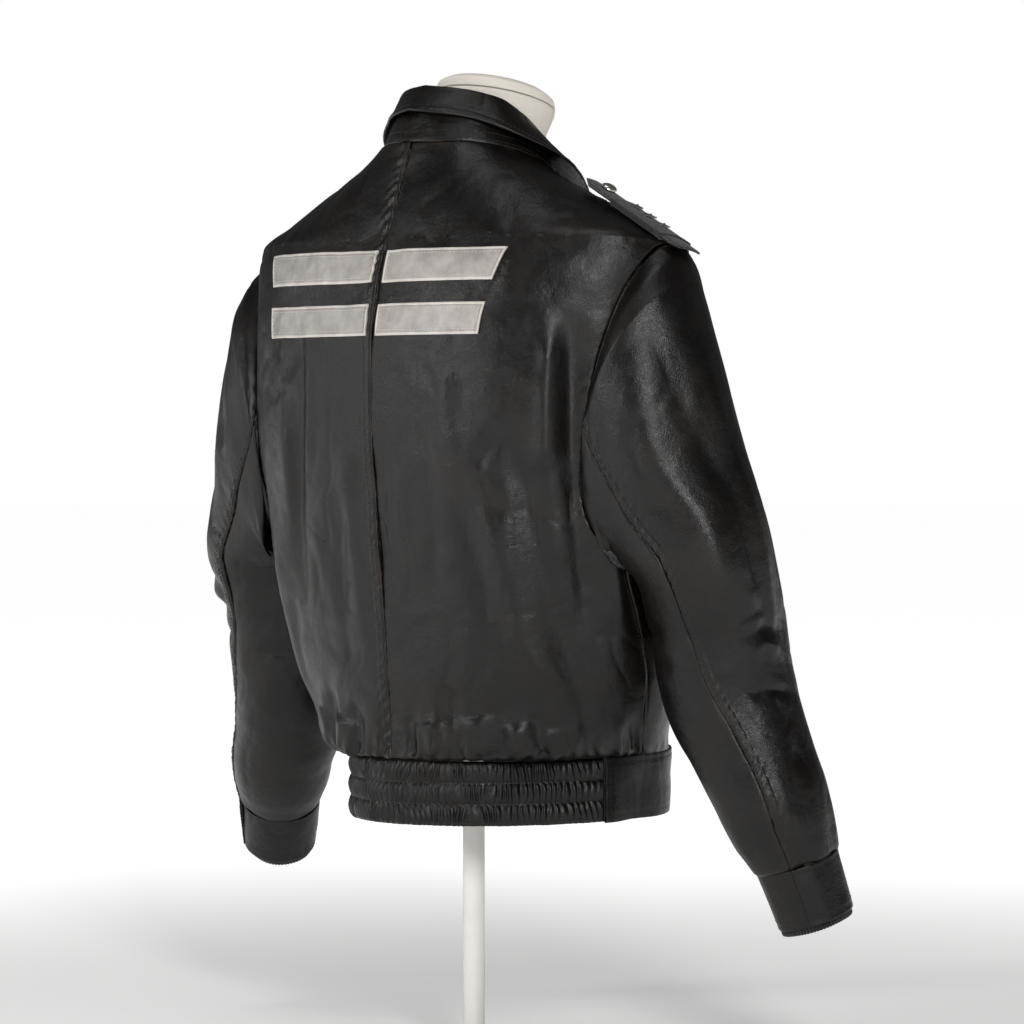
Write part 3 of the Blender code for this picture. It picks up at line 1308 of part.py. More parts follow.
def build_pull(frame, bridge_out):
    """The pull tab, hanging on the bridge: its crossbar goes through the bridge's window."""
    top = TAB_CROSSBAR / 2.0
    outline = rounded_outline(TAB_PULL_WIDTH, TAB_PULL_LENGTH, TAB_CORNER, 4)
    outline = [(x, y + top - TAB_PULL_LENGTH / 2.0) for x, y in outline]
    eye = rounded_outline(TAB_EYE_WIDTH, TAB_EYE_LENGTH, SMALL_CORNER, 2)
    eye = [(x, y - TAB_CROSSBAR / 2.0 - TAB_EYE_LENGTH / 2.0) for x, y in eye]
    turns = [math.radians(degrees) for degrees in range(0, 360, 30)]
    hold = [(TAB_HOLE_RADIUS * math.cos(turn), TAB_HOLE_RADIUS * math.sin(turn) - TAB_HOLE_DROP) for turn in turns]
    pull = curve_plate("zip_pull", [outline, eye, hold], TAB_PULL_THICK, "silver")
    window = BRIDGE_DEPTH - 2.0 * BRIDGE_BAR
    out = bridge_out + BRIDGE_BAR + window / 2.0
    drop = BRIDGE_HEIGHT / 2.0 - BRIDGE_BAR - TAB_CROSSBAR / 2.0 - SEAM_GAP
    upright = Matrix.Rotation(RIGHT_ANGLE, 4, "X")
    pull.matrix_world = frame @ Matrix.Translation((0.0, -out, -drop)) @ upright
    return pull


# Dress form


def section_rings(body, rows, around):
    turns = np.linspace(0.0, 2.0 * math.pi, around, endpoint=False)
    side = np.where(np.cos(turns) >= -1e-9, 1.0, -1.0)
    angles = np.arctan2(np.sin(turns), np.abs(np.cos(turns)))
    rings = []
    for level in rows:
        ring = body.point(angles, np.full(angles.shape, level))
        ring[:, 0] *= side
        rings.append(ring)
    return np.array(rings)


def build_form():
    loft("form_torso", section_rings(FORM, FORM_ROWS, FORM_AROUND), "linen")
    loft("form_neck_cap", section_rings(FORM, NECK_CAP_ROWS, FORM_AROUND), "linen")


def build_stand():
    """A round base with a boss, a pole and the flange that carries the form."""
    base = turned("stand_base", (
        (0.0, BASE_BOSS_HEIGHT),
        (BASE_BOSS_RADIUS - BASE_ROUND, BASE_BOSS_HEIGHT),
        (BASE_BOSS_RADIUS, BASE_BOSS_HEIGHT - BASE_ROUND),
        (BASE_BOSS_RADIUS, BASE_HEIGHT),
        (BASE_RADIUS - BASE_ROUND, BASE_HEIGHT),
        (BASE_RADIUS, BASE_HEIGHT - BASE_ROUND),
        (BASE_RADIUS, 0.0),
        (0.0, 0.0),
    ), "painted_steel", 40)
    base.location = (0.0, 0.0, 0.0)
    form_bottom = FORM_SECTIONS[0][1]
    flange_top = form_bottom - SEAM_GAP
    flange = turned("stand_flange", (
        (0.0, flange_top),
        (FLANGE_RADIUS, flange_top),
        (FLANGE_RADIUS, flange_top - FLANGE_HEIGHT),
        (0.0, flange_top - FLANGE_HEIGHT),
    ), "painted_steel", 24)
    flange.location = (0.0, 0.0, 0.0)
    low = BASE_BOSS_HEIGHT + SEAM_GAP
    high = flange_top - FLANGE_HEIGHT - SEAM_GAP
    body = bmesh.new()
    bmesh.ops.create_cone(body, cap_ends=True, segments=20, radius1=POLE_RADIUS, radius2=POLE_RADIUS, depth=high - low)
    mesh = bpy.data.meshes.new("stand_pole")
    body.to_mesh(mesh)
    body.free()
    smooth_piece(mesh)
    pole = add_piece("stand_pole", mesh, "painted_steel")
    pole.location = (0.0, 0.0, (low + high) / 2.0)


def main():
    clear_scene()
    collection = bpy.data.collections.new(COLLECTION_NAME)
    bpy.context.scene.collection.children.link(collection)
    build_form()
    build_stand()
    for side_name, side in (("left", 1), ("right", -1)):
        outer, normals = build_panel("back_" + side_name, side, True)
        build_patches(side_name, side, outer, normals)
        build_panel("front_" + side_name, side, False)
        build_sleeve(side_name, side)
        build_cuff(side_name, side)
        build_knit_cuff(side_name, side)
        build_band_tab(side_name, side)
        build_strap(side_name, side)
        build_slide(side_name, side)
        build_stars(side_name, side)
        build_button(side_name, side)
    build_band_back()
    build_collar_stand()
    build_collar_fall()
    build_zip()
    frame, bridge_out = build_slider()
    build_pull(frame, bridge_out)


main()
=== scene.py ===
"""A zipped leather jacket on a limbless dress form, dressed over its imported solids.

Metres, +Z up. The wearer faces -Y and the wearer's left is +X. Each piece of cloth is a thin
shell worked out on a grid of two parameters, from the same sections as the solid it stands
for. Pieces are worked out on the wearer's left and mirrored for the right.
"""
import logging
import math
from dataclasses import dataclass, field
from enum import Enum

import bpy
import numpy as np
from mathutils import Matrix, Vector


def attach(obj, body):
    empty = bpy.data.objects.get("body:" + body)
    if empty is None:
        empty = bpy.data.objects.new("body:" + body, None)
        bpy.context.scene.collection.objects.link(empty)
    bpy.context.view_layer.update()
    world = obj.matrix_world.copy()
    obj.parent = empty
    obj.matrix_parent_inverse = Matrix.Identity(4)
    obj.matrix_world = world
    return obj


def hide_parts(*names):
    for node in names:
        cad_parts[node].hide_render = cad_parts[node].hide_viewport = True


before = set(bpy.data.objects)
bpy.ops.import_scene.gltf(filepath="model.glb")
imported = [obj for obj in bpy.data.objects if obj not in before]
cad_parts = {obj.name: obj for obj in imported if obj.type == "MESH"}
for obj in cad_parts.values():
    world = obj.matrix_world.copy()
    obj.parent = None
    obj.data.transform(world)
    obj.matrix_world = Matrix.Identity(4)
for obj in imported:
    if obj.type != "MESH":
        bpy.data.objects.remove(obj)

LOG = logging.getLogger("leather_jacket")
BODY = "jacket_on_form"
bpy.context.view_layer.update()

RIGHT_ANGLE = math.pi / 2.0
SEAM_GAP = 0.0003
LEATHER_WALL = 0.0020

# Torso sections: level, height, half width, centre y, rear y, front y, roundness, front drop
TORSO_SECTIONS = (
    (0.300, 0.3050, 0.1600, -0.0890, 0.1160, -0.1870, 2.00, -0.008),
    (0.305, 0.3058, 0.1710, -0.0680, 0.1195, -0.1880, 2.00, -0.008),
    (0.311, 0.3095, 0.1795, -0.0510, 0.1212, -0.1865, 2.00, -0.008),
    (0.325, 0.3240, 0.1890, -0.0400, 0.1216, -0.1830, 2.00, -0.006),
    (0.350, 0.3500, 0.2030, -0.0320, 0.1230, -0.1740, 2.00, -0.003),
    (0.385, 0.3850, 0.2130, -0.0220, 0.1255, -0.1640, 2.10, 0.000),
    (0.425, 0.4250, 0.2205, -0.0100, 0.1283, -0.1570, 2.15, 0.000),
    (0.470, 0.4700, 0.2280, -0.0020, 0.1325, -0.1520, 2.25, 0.000),
    (0.525, 0.5250, 0.2365, 0.0000, 0.1390, -0.1490, 2.40, 0.000),
    (0.560, 0.5600, 0.2405, 0.0000, 0.1427, -0.1480, 2.45, 0.000),
    (0.608, 0.6080, 0.2445, 0.0000, 0.1478, -0.1455, 2.50, 0.002),
    (0.667, 0.6670, 0.2470, 0.0000, 0.1500, -0.1420, 2.45, 0.006),
    (0.716, 0.7160, 0.2500, 0.0000, 0.1486, -0.1350, 2.40, 0.010),
    (0.765, 0.7650, 0.2560, 0.0000, 0.1410, -0.1220, 2.30, 0.016),
    (0.794, 0.7940, 0.2615, 0.0000, 0.1340, -0.1110, 2.20, 0.020),
    (0.8145, 0.8145, 0.2630, 0.0000, 0.1270, -0.1020, 2.10, 0.026),
    (0.835, 0.8350, 0.2240, 0.0000, 0.1205, -0.0970, 2.05, 0.030),
    (0.858, 0.8580, 0.1830, 0.0000, 0.1120, -0.0890, 2.00, 0.036),
    (0.880, 0.8800, 0.1420, 0.0000, 0.1030, -0.0820, 2.00, 0.044),
    (0.897, 0.8970, 0.1100, 0.0000, 0.0970, -0.0790, 2.00, 0.050),
    (0.912, 0.9120, 0.0860, 0.0000, 0.0920, -0.0770, 2.00, 0.055),
)

# Dress form sections, with the same columns and the power of the drop towards the front
FORM_SECTIONS = (
    (0.330, 0.330, 0.112, -0.022, 0.062, -0.107, 2.00, 0.000, 2.0),
    (0.340, 0.340, 0.134, -0.022, 0.082, -0.127, 2.00, 0.000, 2.0),
    (0.400, 0.400, 0.145, -0.018, 0.092, -0.130, 2.10, 0.000, 2.0),
    (0.470, 0.470, 0.157, -0.010, 0.102, -0.126, 2.20, 0.000, 2.0),
    (0.560, 0.560, 0.176, 0.000, 0.115, -0.122, 2.30, 0.000, 2.0),
    (0.650, 0.650, 0.191, 0.000, 0.124, -0.118, 2.30, 0.004, 2.0),
    (0.730, 0.730, 0.201, 0.000, 0.126, -0.108, 2.30, 0.010, 2.0),
    (0.780, 0.780, 0.207, 0.000, 0.117, -0.096, 2.20, 0.018, 2.0),
    (0.815, 0.815, 0.207, 0.000, 0.107, -0.085, 2.10, 0.028, 2.0),
    (0.836, 0.836, 0.203, 0.000, 0.101, -0.080, 2.05, 0.034, 2.0),
    (0.858, 0.8597, 0.174, 0.000, 0.093, -0.073, 2.00, 0.039, 2.0),
    (0.880, 0.8816, 0.132, 0.000, 0.081, -0.066, 2.00, 0.047, 2.0),
    (0.897, 0.897, 0.099, 0.000, 0.070, -0.060, 2.00, 0.052, 2.0),
    (0.912, 0.912, 0.070, -0.004, 0.052, -0.053, 2.00, 0.050, 1.8),
    (0.930, 0.930, 0.062, -0.012, 0.041, -0.058, 2.00, 0.042, 1.4),
    (0.953, 0.953, 0.060, -0.023, 0.034, -0.078, 2.00, 0.034, 1.0),
    (0.971, 0.971, 0.060, -0.032, 0.028, -0.092, 2.00, 0.028, 1.0),
    (0.980, 0.980, 0.058, -0.033, 0.025, -0.091, 2.00, 0.028, 1.0),
    (0.983, 0.983, 0.050, -0.033, 0.017, -0.083, 2.00, 0.024, 1.0),
)

# Side seam: level, y
SIDE_SEAM = (
    (0.300, -0.060), (0.325, -0.038), (0.357, -0.024), (0.395, -0.014),
    (0.447, 0.010), (0.480, 0.028), (0.518, 0.042),
)

# Sleeve: station, axis x, y and z, half width and depth, turn of the rear and front seams, fullness
SLEEVE_STATIONS = (
    (0.00, 0.247, 0.012, 0.665, 0.0780, 0.0780, 100.0, -85.0, 0.000),
    (0.02, 0.250, 0.012, 0.658, 0.0780, 0.0780, 100.0, -85.0, 0.016),
    (0.05, 0.252, 0.012, 0.645, 0.0780, 0.0775, 100.0, -85.0, 0.024),
    (0.11, 0.261, 0.010, 0.620, 0.0765, 0.0755, 99.0, -85.0, 0.024),
    (0.18, 0.270, 0.005, 0.590, 0.0750, 0.0745, 96.0, -84.0, 0.017),
    (0.26, 0.276, -0.004, 0.555, 0.0735, 0.0730, 88.0, -83.0, 0.012),
    (0.34, 0.2825, -0.016, 0.518, 0.0710, 0.0710, 79.0, -80.0, 0.015),
    (0.43, 0.2835, -0.027, 0.480, 0.0675, 0.0675, 76.0, -78.0, 0.013),
    (0.52, 0.2845, -0.037, 0.440, 0.0655, 0.0655, 73.0, -76.0, 0.009),
    (0.61, 0.2880, -0.042, 0.400, 0.0650, 0.0650, 69.0, -76.0, 0.004),
    (0.69, 0.2955, -0.046, 0.365, 0.0640, 0.0640, 65.0, -76.0, 0.000),
    (0.77, 0.3105, -0.051, 0.330, 0.0590, 0.0590, 62.0, -76.0, 0.000),
    (0.83, 0.3230, -0.056, 0.300, 0.0555, 0.0555, 60.0, -76.0, 0.000),
    (0.89, 0.3350, -0.0605, 0.272, 0.0530, 0.0530, 60.0, -76.0, 0.000),
    (0.94, 0.3417, -0.0678, 0.246, 0.0500, 0.0500, 61.0, -76.0, 0.000),
    (0.975, 0.3460, -0.0740, 0.228, 0.0458, 0.0458, 61.0, -76.0, 0.000),
    (1.00, 0.3490, -0.0785, 0.213, 0.0420, 0.0420, 61.0, -76.0, 0.000),
)

# How the left forearm hangs away from a mirror image of the right one: station, x, y, z
LEFT_FOREARM_SHIFT = (
    (0.00, 0.000, 0.000, 0.000), (0.45, 0.000, 0.000, 0.000), (0.64, 0.006, -0.002, 0.001),
    (0.77, 0.003, -0.006, 0.006), (0.89, 0.009, -0.013, 0.013), (1.00, 0.024, -0.022, 0.021),
)


class Side(Enum):
    """The wearer's two sides; the value is the sign of x."""

    LEFT = 1
    RIGHT = -1

    @property
    def word(self) -> str:
        """The side's name in lower case."""
        return self.name.lower()


# Curves, sections and noise


def smooth_curve(x: np.ndarray, knots: np.ndarray, values: np.ndarray) -> np.ndarray:
    """Monotone cubic through the knots: each span is the Hermite blend of its ends and their slopes.

    Args:
        x: where to read the curve.
        knots: rising positions of the known values.
        values: the known values.

    Returns:
        The curve's values at x.
    """
    x = np.clip(np.asarray(x, dtype=float), knots[0], knots[-1])
    step = np.diff(knots)
    slope = np.diff(values) / step
    before, after = slope[:-1], slope[1:]
    same_way = before * after > 0.0
    total = np.where(same_way, before + after, 1.0)
    tangent = np.zeros(len(values))
    tangent[1:-1] = np.where(same_way, 2.0 * before * after / total, 0.0)
    tangent[0], tangent[-1] = slope[0], slope[-1]
    index = np.clip(np.searchsorted(knots, x, side="right") - 1, 0, len(step) - 1)
    t = (x - knots[index]) / step[index]
    start = (1.0 + 2.0 * t) * (1.0 - t) ** 2 * values[index]
    end = t * t * (3.0 - 2.0 * t) * values[index + 1]
    leave = t * (1.0 - t) ** 2 * step[index] * tangent[index]
    arrive = t * t * (t - 1.0) * step[index] * tangent[index + 1]
    return start + end + leave + arrive


def table_curve(rows: tuple, column: int, x: np.ndarray) -> np.ndarray:
    """Reads one column of a table as a smooth curve of its first column."""
    table = np.array(rows)
    return smooth_curve(x, table[:, 0], table[:, column])


def signed_power(value: np.ndarray, power: np.ndarray) -> np.ndarray:
    """The value's size to a power, with its sign kept."""
    return np.sign(value) * np.abs(value) ** power


def smooth_step(x: np.ndarray) -> np.ndarray:
    """0 below 0, 1 above 1 and a smooth rise between them."""
    x = np.clip(x, 0.0, 1.0)
    return x * x * (3.0 - 2.0 * x)


def unit(vectors: np.ndarray) -> np.ndarray:
    """Vectors scaled to length one."""
    return vectors / np.maximum(np.linalg.norm(vectors, axis=-1, keepdims=True), 1e-12)


def grid_normals(grid: np.ndarray) -> np.ndarray:
    """Normals of a grid of points: the cross product of its steps along and down."""
    return unit(np.cross(np.gradient(grid, axis=1), np.gradient(grid, axis=0)))


def soft_noise(u: np.ndarray, v: np.ndarray, scale: float, seed: int) -> np.ndarray:
    """Seeded random heights on a lattice, blended by a quintic step between its points.

    Args:
        u: first coordinate in metres.
        v: second coordinate in metres.
        scale: the lattice's spacing in metres.
        seed: picks the pattern.

    Returns:
        Heights of about -1 to 1.
    """
    size = 64
    lattice = np.random.default_rng(seed).uniform(-1.0, 1.0, (size, size))
    a, b = u / scale, v / scale
    i, j = np.floor(a).astype(int), np.floor(b).astype(int)
    s, t = a - i, b - j
    s = s ** 3 * (s * (6.0 * s - 15.0) + 10.0)
    t = t ** 3 * (t * (6.0 * t - 15.0) + 10.0)
    i0, j0, i1, j1 = i % size, j % size, (i + 1) % size, (j + 1) % size
    low = lattice[i0, j0] * (1.0 - s) + lattice[i1, j0] * s
    high = lattice[i0, j1] * (1.0 - s) + lattice[i1, j1] * s
    return low * (1.0 - t) + high * t


class Sections:
    """A body through level sections, each an oval with its own rear and front depth.

    The angle is 90 degrees at the centre back, 0 at the side and -90 at the centre front.
    """

    NAMES = ("height", "half_width", "centre_y", "rear_y", "front_y", "roundness", "front_drop", "drop_power")
    USUAL_DROP_POWER = 2.0
    ARC_STEPS = 481
    TURN_STEP = 1e-3
    LEVEL_STEP = 2e-4
    SHOULDER_FOOT = 0.760
    HALVINGS = 40

    def __init__(self, rows: tuple) -> None:
        """Keeps the table's columns by name."""
        table = np.array(rows)
        self.levels = table[:, 0]
        self.columns = dict(zip(self.NAMES, table[:, 1:].T))
        self.columns.setdefault("drop_power", np.full(len(rows), self.USUAL_DROP_POWER))

    def at(self, column: str, level: np.ndarray) -> np.ndarray:
        """A column's value at any level."""
        return smooth_curve(level, self.levels, self.columns[column])

    def depth(self, level: np.ndarray, rearward: np.ndarray) -> np.ndarray:
        """Depth of the oval behind or in front of its centre."""
        centre = self.at("centre_y", level)
        return np.where(rearward, self.at("rear_y", level) - centre, centre - self.at("front_y", level))

    def point(self, angle: np.ndarray, level: np.ndarray) -> np.ndarray:
        """A point of the surface: a rounded oval whose front drops with the power of its distance forward."""
        power = 2.0 / self.at("roundness", level)
        sine = np.sin(angle)
        across = self.at("half_width", level) * signed_power(np.cos(angle), power)
        y = self.at("centre_y", level) + self.depth(level, sine >= 0.0) * signed_power(sine, power)
        rear = self.at("rear_y", level)
        frontness = np.maximum((rear - y) / (rear - self.at("front_y", level)), 0.0)
        drop = self.at("front_drop", level) * frontness ** self.at("drop_power", level)
        return np.stack([across, y, self.at("height", level) - drop], axis=-1)

    def normal(self, angle: np.ndarray, level: np.ndarray) -> np.ndarray:
        """Outward normal: the cross product of a small turn and a small rise."""
        turn, rise = self.TURN_STEP, self.LEVEL_STEP
        around = self.point(angle + turn, level) - self.point(angle - turn, level)
        up = self.point(angle, level + rise) - self.point(angle, level - rise)
        return unit(np.cross(around, up))

    def angle_at(self, y: np.ndarray, level: np.ndarray) -> np.ndarray:
        """Angle of the surface's point with this y."""
        offset = y - self.at("centre_y", level)
        share = np.clip(np.abs(offset) / self.depth(level, offset >= 0.0), 0.0, 1.0)
        return np.sign(offset) * np.arcsin(share ** (self.at("roundness", level) / 2.0))

    def arc_table(self, level: float) -> tuple[np.ndarray, np.ndarray]:
        """Angles from the centre back to the centre front, and their distance along the section."""
        angles = np.linspace(RIGHT_ANGLE, -RIGHT_ANGLE, self.ARC_STEPS)
        points = self.point(angles, np.full(angles.shape, level))
        steps = np.linalg.norm(np.diff(points, axis=0), axis=1)
        return angles, np.concatenate([[0.0], np.cumsum(steps)])

    def arc_at(self, angle: float, level: float) -> float:
        """Distance along the section from the centre back to an angle."""
        angles, arcs = self.arc_table(level)
        return float(np.interp(-angle, -angles, arcs))

    def angles_at(self, arcs: np.ndarray, level: float) -> np.ndarray:
        """Angles at distances from the centre back."""
        angles, table = self.arc_table(level)
        return np.interp(arcs, table, angles)

    def height_over(self, x: np.ndarray, y: np.ndarray) -> np.ndarray:
        """Height of the surface above a plan point on the shoulders, by halving the range of levels."""
        x, y = np.broadcast_arrays(np.abs(x), y)
        low = np.full(x.shape, self.SHOULDER_FOOT)
        high = np.full(x.shape, self.levels[-1])
        for _ in range(self.HALVINGS):
            middle = (low + high) / 2.0
            roundness = self.at("roundness", middle)
            offset = y - self.at("centre_y", middle)
            inside = (x / self.at("half_width", middle)) ** roundness
            inside = inside + (np.abs(offset) / self.depth(middle, offset >= 0.0)) ** roundness < 1.0
            low, high = np.where(inside, middle, low), np.where(inside, high, middle)
        rear = self.at("rear_y", low)
        frontness = (rear - y) / (rear - self.at("front_y", low))
        return self.at("height", low) - self.at("front_drop", low) * frontness ** 2


TORSO = Sections(TORSO_SECTIONS)
FORM = Sections(FORM_SECTIONS)


# Meshes


def write_mesh(name: str, points: np.ndarray, quads: np.ndarray) -> bpy.types.Mesh:
    """Puts points and four-cornered faces into a new mesh.

    Args:
        name: the mesh's name.
        points: one row of x, y, z for each vertex.
        quads: one row of four vertex numbers for each face.

    Returns:
        The mesh, shaded smooth.
    """
    mesh = bpy.data.meshes.new(name)
    mesh.vertices.add(len(points))
    mesh.vertices.foreach_set("co", np.ascontiguousarray(points, dtype=np.float32).ravel())
    mesh.loops.add(quads.size)
    mesh.loops.foreach_set("vertex_index", np.ascontiguousarray(quads, dtype=np.int32).ravel())
    mesh.polygons.add(len(quads))
    mesh.polygons.foreach_set("loop_start", np.arange(0, quads.size, 4, dtype=np.int32))
    mesh.update(calc_edges=True)
    mesh.validate()
    mesh.shade_smooth()
    return mesh


def grid_quads(rows: int, columns: int, wrap: bool = False) -> np.ndarray:
    """Faces of a grid of rows by columns, joined round where it wraps."""
    row, column = np.meshgrid(np.arange(rows - 1), np.arange(columns if wrap else columns - 1), indexing="ij")
    across = (column + 1) % columns
    corners = (row * columns + column, row * columns + across, (row + 1) * columns + across,
               (row + 1) * columns + column)
    return np.stack(corners, axis=-1).reshape(-1, 4)


def faces_outward(grid: np.ndarray, outward: np.ndarray) -> bool:
    """Whether a grid's own winding agrees with its outward directions."""
    step = np.cross(grid[:-1, 1:] - grid[:-1, :-1], grid[1:, :-1] - grid[:-1, :-1])
    return float(np.sum(step * outward[:-1, :-1])) > 0.0


def edge_distance(grid: np.ndarray, borders: str) -> np.ndarray:
    """Distance from each point to the nearest of the named borders, along the grid's lines.

    Args:
        grid: rows by columns of points.
        borders: letters of the borders that count: s start column, e end column, t first row, b last row.

    Returns:
        Distances in metres, rows by columns.
    """
    along = np.linalg.norm(np.diff(grid, axis=1), axis=-1)
    along = np.concatenate([np.zeros((grid.shape[0], 1)), np.cumsum(along, axis=1)], axis=1)
    down = np.linalg.norm(np.diff(grid, axis=0), axis=-1)
    down = np.concatenate([np.zeros((1, grid.shape[1])), np.cumsum(down, axis=0)], axis=0)
    found = {"s": along, "e": along[:, -1:] - along, "t": down, "b": down[-1:] - down}
    return np.min([found[letter] for letter in borders], axis=0) if borders else np.full(grid.shape[:2], 1.0)


@dataclass
class Cloth:
    """A shell of cloth: a grid of outer points with outward directions, dressed and turned into a piece."""

    name: str
    grid: np.ndarray
    normals: np.ndarray
    material: bpy.types.Material
    slot: str
    side: int = 1
    groove: str = "setb"
    groove_depth: float = 0.0011
    groove_width: float = 0.0016
    lip: float = 0.0020
    worn_width: float = 0.006

    def build(self) -> bpy.types.Object:
        """Sinks the grid into its seams, turns a lip inward round it and makes the piece."""
        grid = self.grid.copy()
        if self.groove:
            near = np.exp(-(edge_distance(grid, self.groove) / self.groove_width) ** 2)
            grid = grid - self.normals * (self.groove_depth * near)[..., None]
        wear = np.exp(-(edge_distance(grid, self.groove or "setb") / self.worn_width) ** 2)
        padded = np.pad(grid, ((1, 1), (1, 1), (0, 0)), mode="edge")
        outward = np.pad(self.normals, ((1, 1), (1, 1), (0, 0)), mode="edge")
        ring = np.zeros(padded.shape[:2])
        ring[0], ring[-1], ring[:, 0], ring[:, -1] = 1.0, 1.0, 1.0, 1.0
        padded = padded - outward * (ring * self.lip)[..., None]
        mirror = np.array([float(self.side), 1.0, 1.0])
        padded, outward = padded * mirror, outward * mirror
        rows, columns = padded.shape[:2]
        quads = grid_quads(rows, columns)
        if not faces_outward(padded, outward):
            quads = quads[:, ::-1]
        mesh = write_mesh(self.name, padded.reshape(-1, 3), quads)
        wear = np.pad(wear, 1, mode="edge").astype(np.float32)
        mesh.attributes.new("wear", "FLOAT", "POINT").data.foreach_set("value", wear.ravel())
        return place(self.name, mesh, self.material)


def place(name: str, mesh: bpy.types.Mesh, material: bpy.types.Material,
          body: str = BODY) -> bpy.types.Object:
    """Adds a mesh to the scene as a piece that rides on a body.

    Args:
        name: the piece's name.
        mesh: its mesh, already in place.
        material: its finish.
        body: the body it moves with.

    Returns:
        The piece.
    """
    piece = bpy.data.objects.new(name, mesh)
    mesh.materials.append(material)
    bpy.context.scene.collection.objects.link(piece)
    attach(piece, body)
    return piece


def closed_wall(name: str, outer: np.ndarray, inner: np.ndarray, material: bpy.types.Material,
                side: int = 1, wrap: bool = False, rim: int = 3) -> bpy.types.Object:
    """A closed shell: outer grid, a rounded rim and inner grid as one band that closes on itself.

    The profile runs down the outer rows, round the far rim, back up the inner rows and round the near rim.

    Args:
        name: the piece's name.
        outer: rows by columns of outer points.
        inner: the same for the inner face.
        material: its finish.
        side: sign of x.
        wrap: whether the columns close on themselves.
        rim: number of rows in each rounded rim.

    Returns:
        The piece.
    """
    turns = np.linspace(0.0, math.pi, rim + 2)[1:-1]

    def bow(first: np.ndarray, second: np.ndarray, away: np.ndarray) -> list[np.ndarray]:
        """Rows of a half round from one edge to the other, bulging away from the wall."""
        middle, half = (first + second) / 2.0, (first - second) / 2.0
        size = np.linalg.norm(half, axis=-1, keepdims=True)
        return [middle + half * math.cos(turn) + away * size * math.sin(turn) for turn in turns]

    far = unit(outer[-1] - outer[-2])
    near = unit(outer[0] - outer[1])
    rows = list(outer) + bow(outer[-1], inner[-1], far) + list(inner[::-1]) + bow(inner[0], outer[0], near)
    mirror = np.array([float(side), 1.0, 1.0])
    grid = np.array(rows) * mirror
    profile, columns = grid.shape[:2]
    quads = grid_quads(profile, columns, wrap)
    last = grid_quads(2, columns, wrap)
    last = np.where(last >= columns, last - columns, last + (profile - 1) * columns)
    quads = np.concatenate([quads, last])
    if not wrap:
        index = np.arange(profile // 2 - 1)
        caps = []
        for column in (0, columns - 1):
            a = index * columns + column
            b = (index + 1) * columns + column
            c = (profile - 2 - index) * columns + column
            d = (profile - 1 - index) * columns + column
            cap = np.stack([a, d, c, b], axis=-1)
            caps.append(cap if column == 0 else cap[:, ::-1])
        quads = np.concatenate([quads] + caps)
    thick = np.array(outer) - np.array(inner)
    if not faces_outward(np.array(outer) * mirror, thick * mirror):
        quads = quads[:, ::-1]
    mesh = write_mesh(name, grid.reshape(-1, 3), quads)
    return place(name, mesh, material)


# Finishes


class Value:
    """A number's socket whose arithmetic adds Math nodes."""

    def __init__(self, graph: "Graph", socket: bpy.types.NodeSocket) -> None:
        """Keeps the graph and the socket."""
        self.graph = graph
        self.socket = socket

    def math(self, operation: str, *values: object) -> "Value":
        """A Math node of this operation on the values."""
        node = self.graph.node("ShaderNodeMath", {"operation": operation}, dict(enumerate(values)))
        return Value(self.graph, node.outputs[0])

    def __add__(self, other: object) -> "Value":
        """Sum."""
        return self.math("ADD", self, other)

    def __radd__(self, other: object) -> "Value":
        """Sum."""
        return self.math("ADD", other, self)

    def __sub__(self, other: object) -> "Value":
        """Difference."""
        return self.math("SUBTRACT", self, other)

    def __rsub__(self, other: object) -> "Value":
        """Difference, the other way round."""
        return self.math("SUBTRACT", other, self)

    def __mul__(self, other: object) -> "Value":
        """Product."""
        return self.math("MULTIPLY", self, other)

    def __rmul__(self, other: object) -> "Value":
        """Product."""
        return self.math("MULTIPLY", other, self)

    def __truediv__(self, other: object) -> "Value":
        """Quotient."""
        return self.math("DIVIDE", self, other)

    def __rtruediv__(self, other: object) -> "Value":
        """Quotient, the other way round."""
        return self.math("DIVIDE", other, self)

    def rise(self, low: float, high: float) -> "Value":
        """0 at low, 1 at high and a smooth step between them."""
        node = self.graph.node("ShaderNodeMapRange", {"interpolation_type": "SMOOTHSTEP"},
                               {"Value": self, "From Min": low, "From Max": high})
        return Value(self.graph, node.outputs[0])


